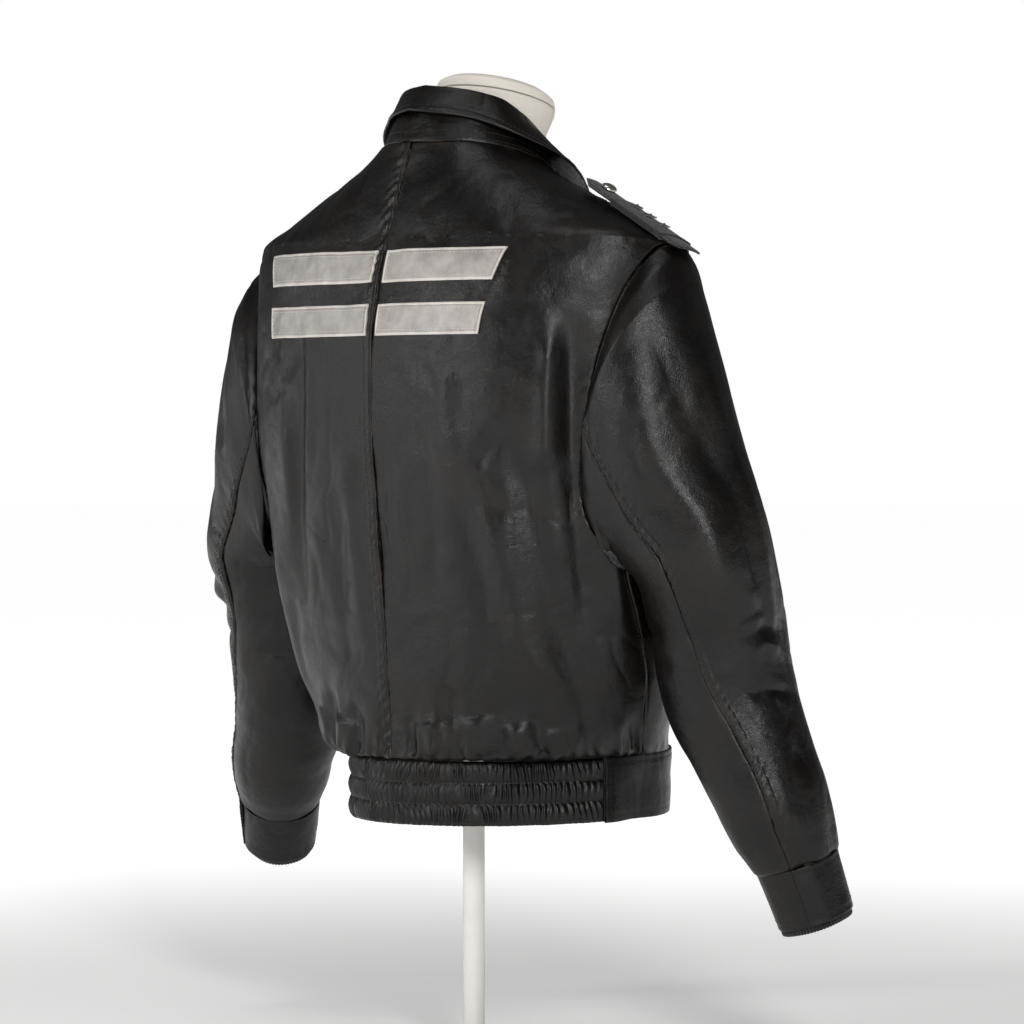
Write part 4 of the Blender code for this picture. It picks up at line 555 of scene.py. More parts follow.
class Graph:
    """A material's nodes, with one method for any node."""

    def __init__(self, name: str) -> None:
        """Makes the material with its Principled shader."""
        self.material = bpy.data.materials.new(name)
        self.material.use_nodes = True
        self.tree = self.material.node_tree
        self.shader = self.tree.nodes["Principled BSDF"]
        self.place = self.node("ShaderNodeTexCoord", {}, {}).outputs["Object"]

    def node(self, kind: str, settings: dict, inputs: dict) -> bpy.types.Node:
        """Adds a node, sets it, then sets or links its inputs.

        Args:
            kind: the node's type.
            settings: attributes set before the inputs.
            inputs: socket name or number to a Value, a socket or a plain value.

        Returns:
            The node.
        """
        node = self.tree.nodes.new(kind)
        for key, value in settings.items():
            setattr(node, key, value)
        for key, value in inputs.items():
            self.feed(node.inputs[key], value)
        return node

    def feed(self, socket: bpy.types.NodeSocket, value: object) -> None:
        """Links a Value or socket to the socket, or sets it."""
        source = value.socket if isinstance(value, Value) else value
        if isinstance(source, bpy.types.NodeSocket):
            self.tree.links.new(source, socket)
        else:
            socket.default_value = source

    def noise(self, scale: float, detail: float = 2.0, roughness: float = 0.5,
              vector: object = None) -> Value:
        """Fractal noise of about this many features a metre."""
        node = self.node("ShaderNodeTexNoise", {}, {"Vector": vector or self.place, "Scale": scale,
                                                    "Detail": detail, "Roughness": roughness})
        return Value(self, node.outputs["Fac"])

    def cells(self, scale: float, feature: str = "F1", vector: object = None) -> Value:
        """Distance within cells of about this many a metre."""
        node = self.node("ShaderNodeTexVoronoi", {"feature": feature},
                         {"Vector": vector or self.place, "Scale": scale})
        return Value(self, node.outputs["Distance"])

    def stretched(self, scale: tuple) -> bpy.types.NodeSocket:
        """The place with each axis scaled by its own factor."""
        node = self.node("ShaderNodeMapping", {}, {"Vector": self.place, "Scale": scale})
        return node.outputs["Vector"]

    def waves(self, axis: str, scale: float) -> Value:
        """Even stripes along one axis, scale of them in 2 pi metres."""
        node = self.node("ShaderNodeTexWave", {"bands_direction": axis},
                         {"Vector": self.place, "Scale": scale})
        return Value(self, node.outputs["Fac"])

    def attribute(self, name: str) -> Value:
        """A number stored on the mesh."""
        return Value(self, self.node("ShaderNodeAttribute", {"attribute_name": name}, {}).outputs["Fac"])

    def mix(self, factor: object, first: object, second: object) -> bpy.types.NodeSocket:
        """A colour between two, by the factor."""
        node = self.tree.nodes.new("ShaderNodeMix")
        node.data_type = "RGBA"
        self.feed(node.inputs[0], factor)
        self.feed(node.inputs[6], first)
        self.feed(node.inputs[7], second)
        return node.outputs[2]

    def bump(self, height: Value, distance: float, strength: float = 1.0) -> None:
        """Feeds a height to the shader's normal."""
        node = self.node("ShaderNodeBump", {}, {"Strength": strength, "Distance": distance, "Height": height})
        self.feed(self.shader.inputs["Normal"], node.outputs["Normal"])

    def finish(self, colour: object, roughness: object, **plain: float) -> bpy.types.Material:
        """Feeds colour and roughness, and sets the other inputs to plain numbers."""
        self.feed(self.shader.inputs["Base Color"], colour)
        self.feed(self.shader.inputs["Roughness"], roughness)
        for name, value in plain.items():
            self.shader.inputs[name.replace("_", " ")].default_value = value
        return self.material


def colour(red: float, green: float, blue: float) -> tuple[float, float, float, float]:
    """A linear colour from sRGB bytes: each channel to the power 2.2."""
    return tuple((channel / 255.0) ** 2.2 for channel in (red, green, blue)) + (1.0,)


@dataclass(frozen=True)
class LeatherFinish:
    """Semi-gloss black leather with a fine grain, browned where it is worn."""

    dark: tuple = (10, 8, 7)
    light: tuple = (21, 17, 14)
    worn: tuple = (42, 36, 30)
    gloss: float = 0.31
    grain_cells: float = 620.0
    grain_height: float = 0.00016
    wrinkle: float = 0.50
    dent: float = 2.6

    def material(self) -> bpy.types.Material:
        """Grain from cell edges over two scales, mottled colour, duller where dusty."""
        g = Graph("leather")
        mottle = g.noise(14.0, 4.0, 0.6)
        patches = g.noise(38.0, 5.0, 0.65)
        wear = g.attribute("wear")
        base = g.mix(mottle.rise(0.3, 0.75), colour(*self.dark), colour(*self.light))
        rubbed = wear * patches.rise(0.42, 0.66) * 0.75
        shade = g.mix(rubbed, base, colour(*self.worn))
        grain = g.cells(self.grain_cells, "DISTANCE_TO_EDGE").rise(0.0, 0.32)
        pores = g.noise(1500.0, 3.0, 0.6)
        wrinkles = g.noise(150.0, 5.0, 0.62, g.stretched((1.0, 1.0, 1.8)))
        dents = g.noise(52.0, 3.0, 0.5)
        height = grain * 0.16 + pores * 0.08 + wrinkles * self.wrinkle + dents * self.dent
        g.bump(height, self.grain_height * 6.0, 0.5)
        roughness = patches.rise(0.25, 0.8) * 0.14 + (1.0 - grain) * 0.06 + mottle * 0.08 + self.gloss - 0.08
        return g.finish(shade, roughness, IOR=1.42)


@dataclass(frozen=True)
class ClothFinish:
    """A woven or knitted cloth: crossing threads at a spacing."""

    name: str
    dark: tuple
    light: tuple
    threads: float
    roughness: float
    height: float = 0.0003
    sheen: float = 0.2

    def material(self) -> bpy.types.Material:
        """Threads along x or y crossed with threads along z, with slubs from noise."""
        g = Graph(self.name)
        flat = g.waves("DIAGONAL", self.threads)
        up = g.waves("Z", self.threads)
        slub = g.noise(self.threads * 0.35, 3.0, 0.6)
        weave = flat * up * 0.6 + slub * 0.4
        shade = g.mix(weave.rise(0.15, 0.8), colour(*self.dark), colour(*self.light))
        g.bump(flat * 0.5 + up * 0.5 + slub * 0.8, self.height, 0.5)
        return g.finish(shade, slub * 0.12 + self.roughness - 0.06, Sheen_Weight=self.sheen)


@dataclass(frozen=True)
class MetalFinish:
    """A plated or painted metal with faint handling marks."""

    name: str
    shade: tuple
    gloss: float
    metallic: float = 1.0

    def material(self) -> bpy.types.Material:
        """One colour, with marks in the roughness and a very low bump."""
        g = Graph(self.name)
        marks = g.noise(260.0, 4.0, 0.6)
        broad = g.noise(24.0, 3.0, 0.5)
        tone = colour(*self.shade)
        dull = tuple(channel * 0.72 for channel in tone[:3]) + (1.0,)
        g.bump(marks, 0.00006, 0.25)
        return g.finish(g.mix(broad.rise(0.45, 0.9) * 0.5, tone, dull), marks * 0.18 + self.gloss - 0.06,
                        Metallic=self.metallic)


class Finishes:
    """All the finishes of the jacket, the form and its stand, each made once."""

    def __init__(self) -> None:
        """Makes the materials."""
        self.leather = LeatherFinish().material()
        self.thread = ClothFinish("thread", (13, 12, 12), (46, 43, 40), 5200.0, 0.62, 0.0001, 0.1).material()
        self.knit = ClothFinish("rib_knit", (6, 6, 7), (17, 17, 18), 1500.0, 0.95, 0.0007, 0.25).material()
        self.strap = ClothFinish("strap_cloth", (10, 10, 12), (27, 27, 29), 2400.0, 0.82).material()
        self.tape = ClothFinish("zip_cloth", (9, 9, 10), (24, 24, 25), 3000.0, 0.88, 0.0003, 0.15).material()
        self.linen = ClothFinish("linen", (218, 211, 199), (243, 237, 227), 2300.0, 0.92,
                                 0.0002, 0.15).material()
        self.reflective = self.silver_cloth("reflective", (140, 135, 130), (172, 167, 161), 0.46)
        self.edging = self.silver_cloth("edging", (184, 178, 171), (212, 206, 199), 0.54)
        self.silver = MetalFinish("silver", (222, 219, 212), 0.20).material()
        self.zip_metal = MetalFinish("zip_metal", (158, 155, 150), 0.30).material()
        self.steel = MetalFinish("painted_steel", (239, 237, 231), 0.42, 0.0).material()

    @staticmethod
    def silver_cloth(name: str, dark: tuple, light: tuple, roughness: float) -> bpy.types.Material:
        """A silver-grey cloth with a fine beaded face that shows the leather's creases as darker lines."""
        g = Graph(name)
        beads = g.cells(1900.0)
        soil = g.noise(60.0, 5.0, 0.65)
        creases = g.noise(120.0, 4.0, 0.6, g.stretched((1.0, 1.0, 0.35)))
        shade = g.mix(soil.rise(0.25, 0.8), colour(*dark), colour(*light))
        g.bump(beads * 0.4 + creases * 1.6, 0.00022, 0.5)
        return g.finish(shade, soil * 0.2 + roughness - 0.1, Metallic=0.15)


# Creases, puckers and stitches


@dataclass(frozen=True)
class Crease:
    """A soft ridge or trough along a path on a piece's own flat coordinates."""

    height: float
    width: float
    path: tuple
    skew: float = 1.0
    fade: float = 0.28
    samples: int = 14

    def relief(self, u: np.ndarray, v: np.ndarray) -> np.ndarray:
        """Height times a bell of the distance to the smoothed path, fading at both ends.

        Args:
            u: first coordinate in metres.
            v: second coordinate in metres.

        Returns:
            How far each point moves out.
        """
        path = np.array(self.path)
        steps = np.concatenate([[0.0], np.cumsum(np.linalg.norm(np.diff(path, axis=0), axis=1))])
        along = np.linspace(0.0, steps[-1], self.samples)
        line = np.stack([smooth_curve(along, steps, path[:, axis]) for axis in range(2)], axis=-1)
        best = np.full(u.shape, 1e9)
        place_on = np.zeros(u.shape)
        hand = np.ones(u.shape)
        for index in range(self.samples - 1):
            (u0, v0), (du, dv) = line[index], line[index + 1] - line[index]
            share = np.clip(((u - u0) * du + (v - v0) * dv) / (du * du + dv * dv), 0.0, 1.0)
            away_u, away_v = u - u0 - share * du, v - v0 - share * dv
            distance = np.hypot(away_u, away_v)
            nearer = distance < best
            best = np.where(nearer, distance, best)
            place_on = np.where(nearer, (index + share) / (self.samples - 1), place_on)
            hand = np.where(nearer, np.sign(du * away_v - dv * away_u), hand)
        width = self.width * np.where(hand > 0.0, self.skew, 1.0)
        ends = smooth_step(place_on / self.fade + 0.25) * smooth_step((1.0 - place_on) / self.fade + 0.25)
        return self.height * np.exp(-(best / width) ** 1.7) * ends


@dataclass(frozen=True)
class Puckers:
    """Small gathers across a seam: a wavering ripple that dies away from the seam."""

    height: float
    spacing: float
    reach: float
    seed: int

    def relief(self, away: np.ndarray, along: np.ndarray) -> np.ndarray:
        """A sine of the distance along, shifted by noise, times a bell of the distance away."""
        shift = soft_noise(along, away, self.spacing * 2.3, self.seed) * self.spacing * 0.7
        strength = 0.55 + 0.45 * soft_noise(along, away * 0.2, self.spacing * 5.0, self.seed + 1)
        lean = away * 0.6
        wave = np.sin((along + shift + lean) * 2.0 * math.pi / self.spacing)
        return self.height * strength * wave * np.exp(-(away / self.reach) ** 2)


def worn_surface(u: np.ndarray, v: np.ndarray, seed: int) -> np.ndarray:
    """Uneven lie of the leather: two scales of noise and a net of fine bends from ridged noise.

    Args:
        u: first coordinate in metres.
        v: second coordinate in metres.
        seed: picks the pattern.

    Returns:
        Heights in metres.
    """
    warp = soft_noise(u, v, 0.060, seed) * 0.018
    broad = soft_noise(u + warp, v * 0.6, 0.050, seed + 1) * 0.0019
    middle = soft_noise(u + warp, v * 0.8 + warp, 0.021, seed + 2) * 0.00065
    bends = 1.0 - np.abs(soft_noise(u * 1.2 + warp, v * 0.7 - warp, 0.030, seed + 3))
    patches = smooth_step(soft_noise(u, v, 0.070, seed + 4) * 0.8 + 0.4)
    return broad + middle - bends ** 7 * patches * 0.0010


def graded(count: int, bias: float) -> np.ndarray:
    """Shares from 0 to 1 that crowd towards both ends: t less a sine of one turn."""
    t = np.linspace(0.0, 1.0, count)
    return t - bias * np.sin(2.0 * math.pi * t) / (2.0 * math.pi)


def offset_line(grid: np.ndarray, normals: np.ndarray, border: str, distance: float) -> tuple:
    """Points and normals at a distance from one border, read along the grid's lines.

    Args:
        grid: rows by columns of points.
        normals: outward directions.
        border: s, e, t or b, as in edge_distance.
        distance: metres in from the border.

    Returns:
        The points and their normals.
    """
    turned = {"s": lambda a: a, "e": lambda a: a[:, ::-1], "t": lambda a: a.transpose(1, 0, 2),
              "b": lambda a: a[::-1].transpose(1, 0, 2)}[border]
    lines, directions = turned(grid), turned(normals)
    steps = np.linalg.norm(np.diff(lines, axis=1), axis=-1)
    arcs = np.concatenate([np.zeros((len(lines), 1)), np.cumsum(steps, axis=1)], axis=1)
    index = np.clip(np.sum(arcs < distance, axis=1), 1, arcs.shape[1] - 1)
    row = np.arange(len(lines))
    low, high = arcs[row, index - 1], arcs[row, index]
    share = np.clip((distance - low) / np.maximum(high - low, 1e-9), 0.0, 1.0)[:, None]
    points = lines[row, index - 1] * (1.0 - share) + lines[row, index] * share
    return points, unit(directions[row, index - 1] * (1.0 - share) + directions[row, index] * share)


@dataclass
class Stitching:
    """Rows of short stitches that are gathered into one piece."""

    name: str
    pitch: float = 0.0042
    length: float = 0.0031
    radius: float = 0.00036
    centres: list = field(default_factory=list)
    frames: list = field(default_factory=list)

    def run(self, points: np.ndarray, normals: np.ndarray, side: int = 1, rise: float = 0.00012) -> None:
        """Lays stitches at even steps along a line.

        Args:
            points: the line's points.
            normals: outward directions there.
            side: sign of x.
            rise: how far the thread's middle stands out of the leather.
        """
        mirror = np.array([float(side), 1.0, 1.0])
        points, normals = points * mirror, normals * mirror
        arcs = np.concatenate([[0.0], np.cumsum(np.linalg.norm(np.diff(points, axis=0), axis=1))])
        count = max(int(arcs[-1] / self.pitch), 2)
        where = (np.arange(count) + 0.5) * arcs[-1] / count

        def read(values: np.ndarray, at: np.ndarray) -> np.ndarray:
            """The values at distances along the line."""
            return np.stack([np.interp(at, arcs, values[:, axis]) for axis in range(3)], axis=-1)

        half = self.length / 2.0
        ahead = read(points, np.minimum(where + half, arcs[-1]))
        along = unit(ahead - read(points, np.maximum(where - half, 0.0)))
        out = read(normals, where)
        out = unit(out - along * np.sum(out * along, axis=1, keepdims=True))
        self.centres.append(read(points, where) + out * rise)
        self.frames.append(np.stack([along, out, np.cross(along, out)], axis=1))

    def build(self, material: bpy.types.Material) -> bpy.types.Object:
        """Joins all stitches: each is four rings of four points, thin at its ends, with its ends closed."""
        centres, frames = np.concatenate(self.centres), np.concatenate(self.frames)
        stations = np.array([-0.5, -0.26, 0.26, 0.5]) * self.length
        sizes = np.array([0.35, 1.0, 1.0, 0.35]) * self.radius
        sinks = np.array([-1.1, 0.0, 0.0, -1.1]) * self.radius
        turns = np.radians([45.0, 135.0, 225.0, 315.0])
        ring = np.stack([np.cos(turns), np.sin(turns)], axis=-1)
        shape = np.concatenate([
            np.concatenate([np.full((4, 1), at), ring[:, :1] * size + sink, ring[:, 1:] * size], axis=1)
            for at, size, sink in zip(stations, sizes, sinks)])
        quads = np.concatenate([grid_quads(4, 4, True), [[3, 2, 1, 0], [12, 13, 14, 15]]])
        points = centres[:, None, :] + np.einsum("kj,njc->nkc", shape, frames)
        every = quads[None] + (np.arange(len(centres)) * len(shape))[:, None, None]
        LOG.info("%s: %d stitches", self.name, len(centres))
        return place(self.name, write_mesh(self.name, points.reshape(-1, 3), every.reshape(-1, 4)), material)


# Torso


@dataclass
class Torso:
    """Backs and fronts, cut from one surface of distance from the centre back and level."""

    columns: dict = field(default_factory=lambda: {True: 126, False: 64})
    waist_rows: int = 86
    armhole_rows: int = 116
    shoulder_rows: int = 34
    armhole_low: float = 0.518
    armhole_high: float = 0.8145
    armhole_middle: float = 0.66625
    armhole_half: float = 0.14825
    armhole_bottom_y: float = 0.042
    armhole_rear: float = 0.058
    armhole_front: float = 0.085
    armhole_fullness: float = 0.80
    zip_half_opening: float = 0.0053
    folds: dict = field(default_factory=lambda: {
        Side.LEFT: (
            Crease(-0.0052, 0.015, ((0.112, 0.740), (0.106, 0.700), (0.110, 0.610), (0.126, 0.530),
                                    (0.130, 0.440)), 1.5),
            Crease(0.0036, 0.012, ((0.134, 0.732), (0.132, 0.608), (0.140, 0.520)), 1.3),
            Crease(0.0022, 0.009, ((0.099, 0.728), (0.090, 0.657), (0.102, 0.560))),
            Crease(-0.0018, 0.007, ((0.106, 0.700), (0.122, 0.676), (0.142, 0.664))),
            Crease(0.0034, 0.018, ((0.070, 0.345), (0.076, 0.322), (0.082, 0.312))),
            Crease(0.0034, 0.017, ((0.118, 0.350), (0.124, 0.325), (0.126, 0.312))),
            Crease(-0.0026, 0.010, ((0.098, 0.372), (0.099, 0.335), (0.104, 0.308))),
            Crease(-0.0024, 0.009, ((0.052, 0.360), (0.050, 0.325), (0.047, 0.308))),
            Crease(-0.0020, 0.012, ((0.045, 0.560), (0.060, 0.470), (0.052, 0.390))),
            Crease(0.0018, 0.014, ((0.030, 0.640), (0.038, 0.520), (0.030, 0.420))),
            Crease(-0.0024, 0.011, ((0.150, 0.470), (0.165, 0.400), (0.160, 0.340))),
            Crease(0.0026, 0.013, ((0.178, 0.520), (0.186, 0.430), (0.182, 0.350))),
            Crease(-0.0022, 0.010, ((0.205, 0.640), (0.215, 0.560), (0.212, 0.470))),
            Crease(-0.0034, 0.018, ((0.330, 0.700), (0.345, 0.560), (0.340, 0.410)), 1.4),
            Crease(0.0030, 0.018, ((0.400, 0.620), (0.395, 0.370))),
            Crease(-0.0022, 0.012, ((0.368, 0.480), (0.362, 0.390), (0.372, 0.330))),
            Crease(-0.0022, 0.010, ((0.300, 0.500), (0.310, 0.410), (0.304, 0.330))),
        ),
        Side.RIGHT: (
            Crease(-0.0066, 0.015, ((0.206, 0.746), (0.220, 0.732), (0.224, 0.657), (0.224, 0.581),
                                    (0.221, 0.502), (0.222, 0.420)), 1.5),
            Crease(0.0044, 0.012, ((0.204, 0.723), (0.201, 0.657), (0.197, 0.580)), 1.2),
            Crease(0.0030, 0.012, ((0.249, 0.657), (0.255, 0.502), (0.257, 0.426))),
            Crease(-0.0042, 0.014, ((0.162, 0.632), (0.172, 0.570), (0.188, 0.475), (0.205, 0.381),
                                    (0.226, 0.332)), 1.5),
            Crease(0.0044, 0.013, ((0.128, 0.557), (0.146, 0.505), (0.157, 0.432), (0.184, 0.375)), 1.3),
            Crease(-0.0020, 0.009, ((0.150, 0.630), (0.140, 0.610), (0.126, 0.592))),
            Crease(-0.0018, 0.010, ((0.100, 0.560), (0.118, 0.500), (0.124, 0.440))),
            Crease(0.0034, 0.015, ((0.046, 0.345), (0.049, 0.322), (0.052, 0.312))),
            Crease(0.0036, 0.015, ((0.097, 0.350), (0.101, 0.327), (0.103, 0.312))),
            Crease(0.0034, 0.015, ((0.139, 0.345), (0.142, 0.322), (0.146, 0.310))),
            Crease(0.0034, 0.013, ((0.172, 0.340), (0.176, 0.318), (0.180, 0.308))),
            Crease(-0.0030, 0.009, ((0.074, 0.380), (0.076, 0.340), (0.079, 0.308))),
            Crease(-0.0028, 0.008, ((0.120, 0.362), (0.122, 0.332), (0.126, 0.308))),
            Crease(-0.0026, 0.008, ((0.158, 0.356), (0.159, 0.328), (0.162, 0.306))),
            Crease(-0.0024, 0.008, ((0.024, 0.350), (0.026, 0.325), (0.028, 0.308))),
            Crease(-0.0016, 0.013, ((0.060, 0.660), (0.072, 0.560), (0.066, 0.450))),
            Crease(0.0016, 0.016, ((0.090, 0.690), (0.096, 0.600))),
            Crease(-0.0034, 0.018, ((0.345, 0.670), (0.335, 0.500), (0.350, 0.390)), 1.4),
            Crease(0.0030, 0.018, ((0.410, 0.630), (0.402, 0.420))),
            Crease(-0.0022, 0.012, ((0.372, 0.470), (0.366, 0.380), (0.376, 0.330))),
        ),
    })
    centre_puckers: Puckers = Puckers(0.0012, 0.0125, 0.0100, 31)
    armhole_puckers: Puckers = Puckers(0.0006, 0.0110, 0.0110, 47)
    waist_height: float = 0.303
    fold_depth: float = 1.55

    def armhole_turn(self, level: np.ndarray) -> np.ndarray:
        """Turn round the armhole at a level, 0 at the shoulder tip."""
        return np.arccos(np.clip((level - self.armhole_middle) / self.armhole_half, -1.0, 1.0))

    def armhole_y(self, turn: np.ndarray) -> np.ndarray:
        """The armhole's y: a leaning centre line plus a full sine of the turn."""
        centre = self.armhole_bottom_y * (1.0 - np.cos(turn)) / 2.0
        reach = np.where(np.sin(turn) >= 0.0, self.armhole_rear, self.armhole_front)
        return centre + reach * signed_power(np.sin(turn), self.armhole_fullness)

    def limit(self, level: float, rearward: bool) -> float:
        """Angle at which a back or front ends: side seam, armhole or shoulder seam."""
        if level <= self.armhole_low:
            return float(TORSO.angle_at(table_curve(SIDE_SEAM, 1, level), level))
        if level >= self.armhole_high:
            return 0.0
        turn = self.armhole_turn(level)
        return float(TORSO.angle_at(self.armhole_y(turn if rearward else -turn), level))

    def levels(self) -> np.ndarray:
        """Rows of a panel: even at the waist, by even turns along the armhole, even over the shoulder."""
        rise = np.linspace(0.0, 1.0, self.waist_rows) ** 1.25
        waist = TORSO.levels[0] + (self.armhole_low - TORSO.levels[0]) * rise
        turns = np.linspace(math.pi, 0.0, self.armhole_rows)
        armhole = self.armhole_middle + self.armhole_half * np.cos(turns)
        shoulder = np.linspace(self.armhole_high, TORSO.levels[-1], self.shoulder_rows)
        return np.concatenate([waist[:-1], armhole, shoulder[1:]])

    def surface(self, side: Side, arcs: np.ndarray, levels: np.ndarray) -> tuple[np.ndarray, np.ndarray]:
        """Points and normals at distances from the centre back on rows of one level each, creases included.

        Args:
            side: whose creases.
            arcs: rows by columns of distances.
            levels: one level for each row.

        Returns:
            Points and normals, rows by columns by three.
        """
        angles = np.array([TORSO.angles_at(row, level) for row, level in zip(arcs, levels)])
        heights = np.broadcast_to(np.asarray(levels)[:, None], arcs.shape)
        points, normals = TORSO.point(angles, heights), TORSO.normal(angles, heights)
        relief = self.fold_depth * sum(crease.relief(arcs, heights) for crease in self.folds[side])
        return points + normals * relief[..., None], normals

    def arcs(self, rearward: bool, levels: np.ndarray) -> np.ndarray:
        """Distances from the centre back of a panel's points."""
        shares = graded(self.columns[rearward], 0.62)
        rows = []
        for level in levels:
            edge = TORSO.arc_at(self.limit(level, rearward), level)
            if rearward:
                rows.append(SEAM_GAP / 2.0 + shares * (edge - SEAM_GAP))
            else:
                centre = TORSO.arc_at(-RIGHT_ANGLE, level) - self.zip_half_opening
                rows.append(edge + SEAM_GAP / 2.0 + shares * (centre - edge - SEAM_GAP / 2.0))
        return np.array(rows)

    def details(self, side: Side, rearward: bool, arcs: np.ndarray, heights: np.ndarray,
                edge: np.ndarray) -> np.ndarray:
        """Relief that is too fine for the solid: worn leather, seam puckers and gathers over the waistband.

        Args:
            side: the wearer's side.
            rearward: back or front.
            arcs: distance from the centre back.
            heights: level of each point.
            edge: distance from the side seam or armhole.

        Returns:
            Heights in metres.
        """
        seed = 100 + 10 * side.value + int(rearward)
        relief = worn_surface(arcs, heights, seed)
        rise = heights - self.waist_height
        near = np.exp(-(rise / 0.020) ** 2) if rearward else np.exp(-(rise / 0.012) ** 2) * 0.35
        shift = soft_noise(arcs, heights, 0.020, seed + 7) * 0.006
        free = smooth_step(rise / 0.012)
        ripple = np.sin((arcs + shift) * 2.0 * math.pi / 0.0148)
        relief = relief * (0.4 + 0.6 * free) + 0.0026 * near * (0.2 + 0.8 * free) * ripple
        swell = np.exp(-((rise - 0.016) / 0.034) ** 2)
        pouch = soft_noise(arcs, heights * 0.5, 0.024, seed + 8)
        pouch = pouch + 0.6 * soft_noise(arcs, heights * 0.4, 0.011, seed + 9)
        relief = relief + (0.0042 if rearward else 0.0010) * swell * free * pouch
        relief = relief + self.armhole_puckers.relief(edge, heights) * smooth_step((heights - 0.50) / 0.03)
        if rearward and side is Side.LEFT:
            relief = relief + self.centre_puckers.relief(np.maximum(arcs - 0.003, 0.0), heights)
            relief = relief + 0.0007 * smooth_step(1.0 - (arcs - 0.0095) / 0.0012)
        return relief

    def panel(self, side: Side, rearward: bool, finishes: Finishes, stitching: Stitching) -> bpy.types.Object:
        """Makes a back or a front with its stitches."""
        name = ("back_" if rearward else "front_") + side.word
        levels = self.levels()
        arcs = self.arcs(rearward, levels)
        grid, normals = self.surface(side, arcs, levels)
        heights = np.broadcast_to(levels[:, None], arcs.shape)
        edge = arcs[:, -1:] - arcs if rearward else arcs - arcs[:, :1]
        relief = self.details(side, rearward, arcs, heights, edge)
        grid = grid + normals * relief[..., None]
        if rearward:
            centre = [("s", 0.0026), ("s", 0.0088)] if side is Side.LEFT else [("s", 0.0030)]
            lines = [("e", 0.0032)] + centre
        else:
            lines = [("e", 0.0040), ("e", 0.0100)]
        for border, inset in lines:
            points, out = offset_line(grid, normals, border, inset)
            keep = slice(6, -3)
            stitching.run(points[keep], out[keep], side.value)
        piece = Cloth(name + "_leather", grid, normals, finishes.leather, "leather", side.value).build()
        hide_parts(name)
        self.declare(piece, arcs, levels, ["form_torso", "waistband_back"])
        LOG.info("%s: %d by %d points", piece.name, *arcs.shape)
        return piece

    @staticmethod
    def declare(piece: bpy.types.Object, arcs: np.ndarray, levels: np.ndarray, rests_on: list) -> None:
        """Works out the piece's area and keeps nothing of it."""
        area = sheet_area(piece)


def sheet_area(piece: bpy.types.Object) -> float:
    """Area of a piece's faces, in square metres: the sum of its polygons' areas."""
    areas = np.zeros(len(piece.data.polygons))
    piece.data.polygons.foreach_get("area", areas)
    return float(areas.sum())


# Sleeves and cuffs


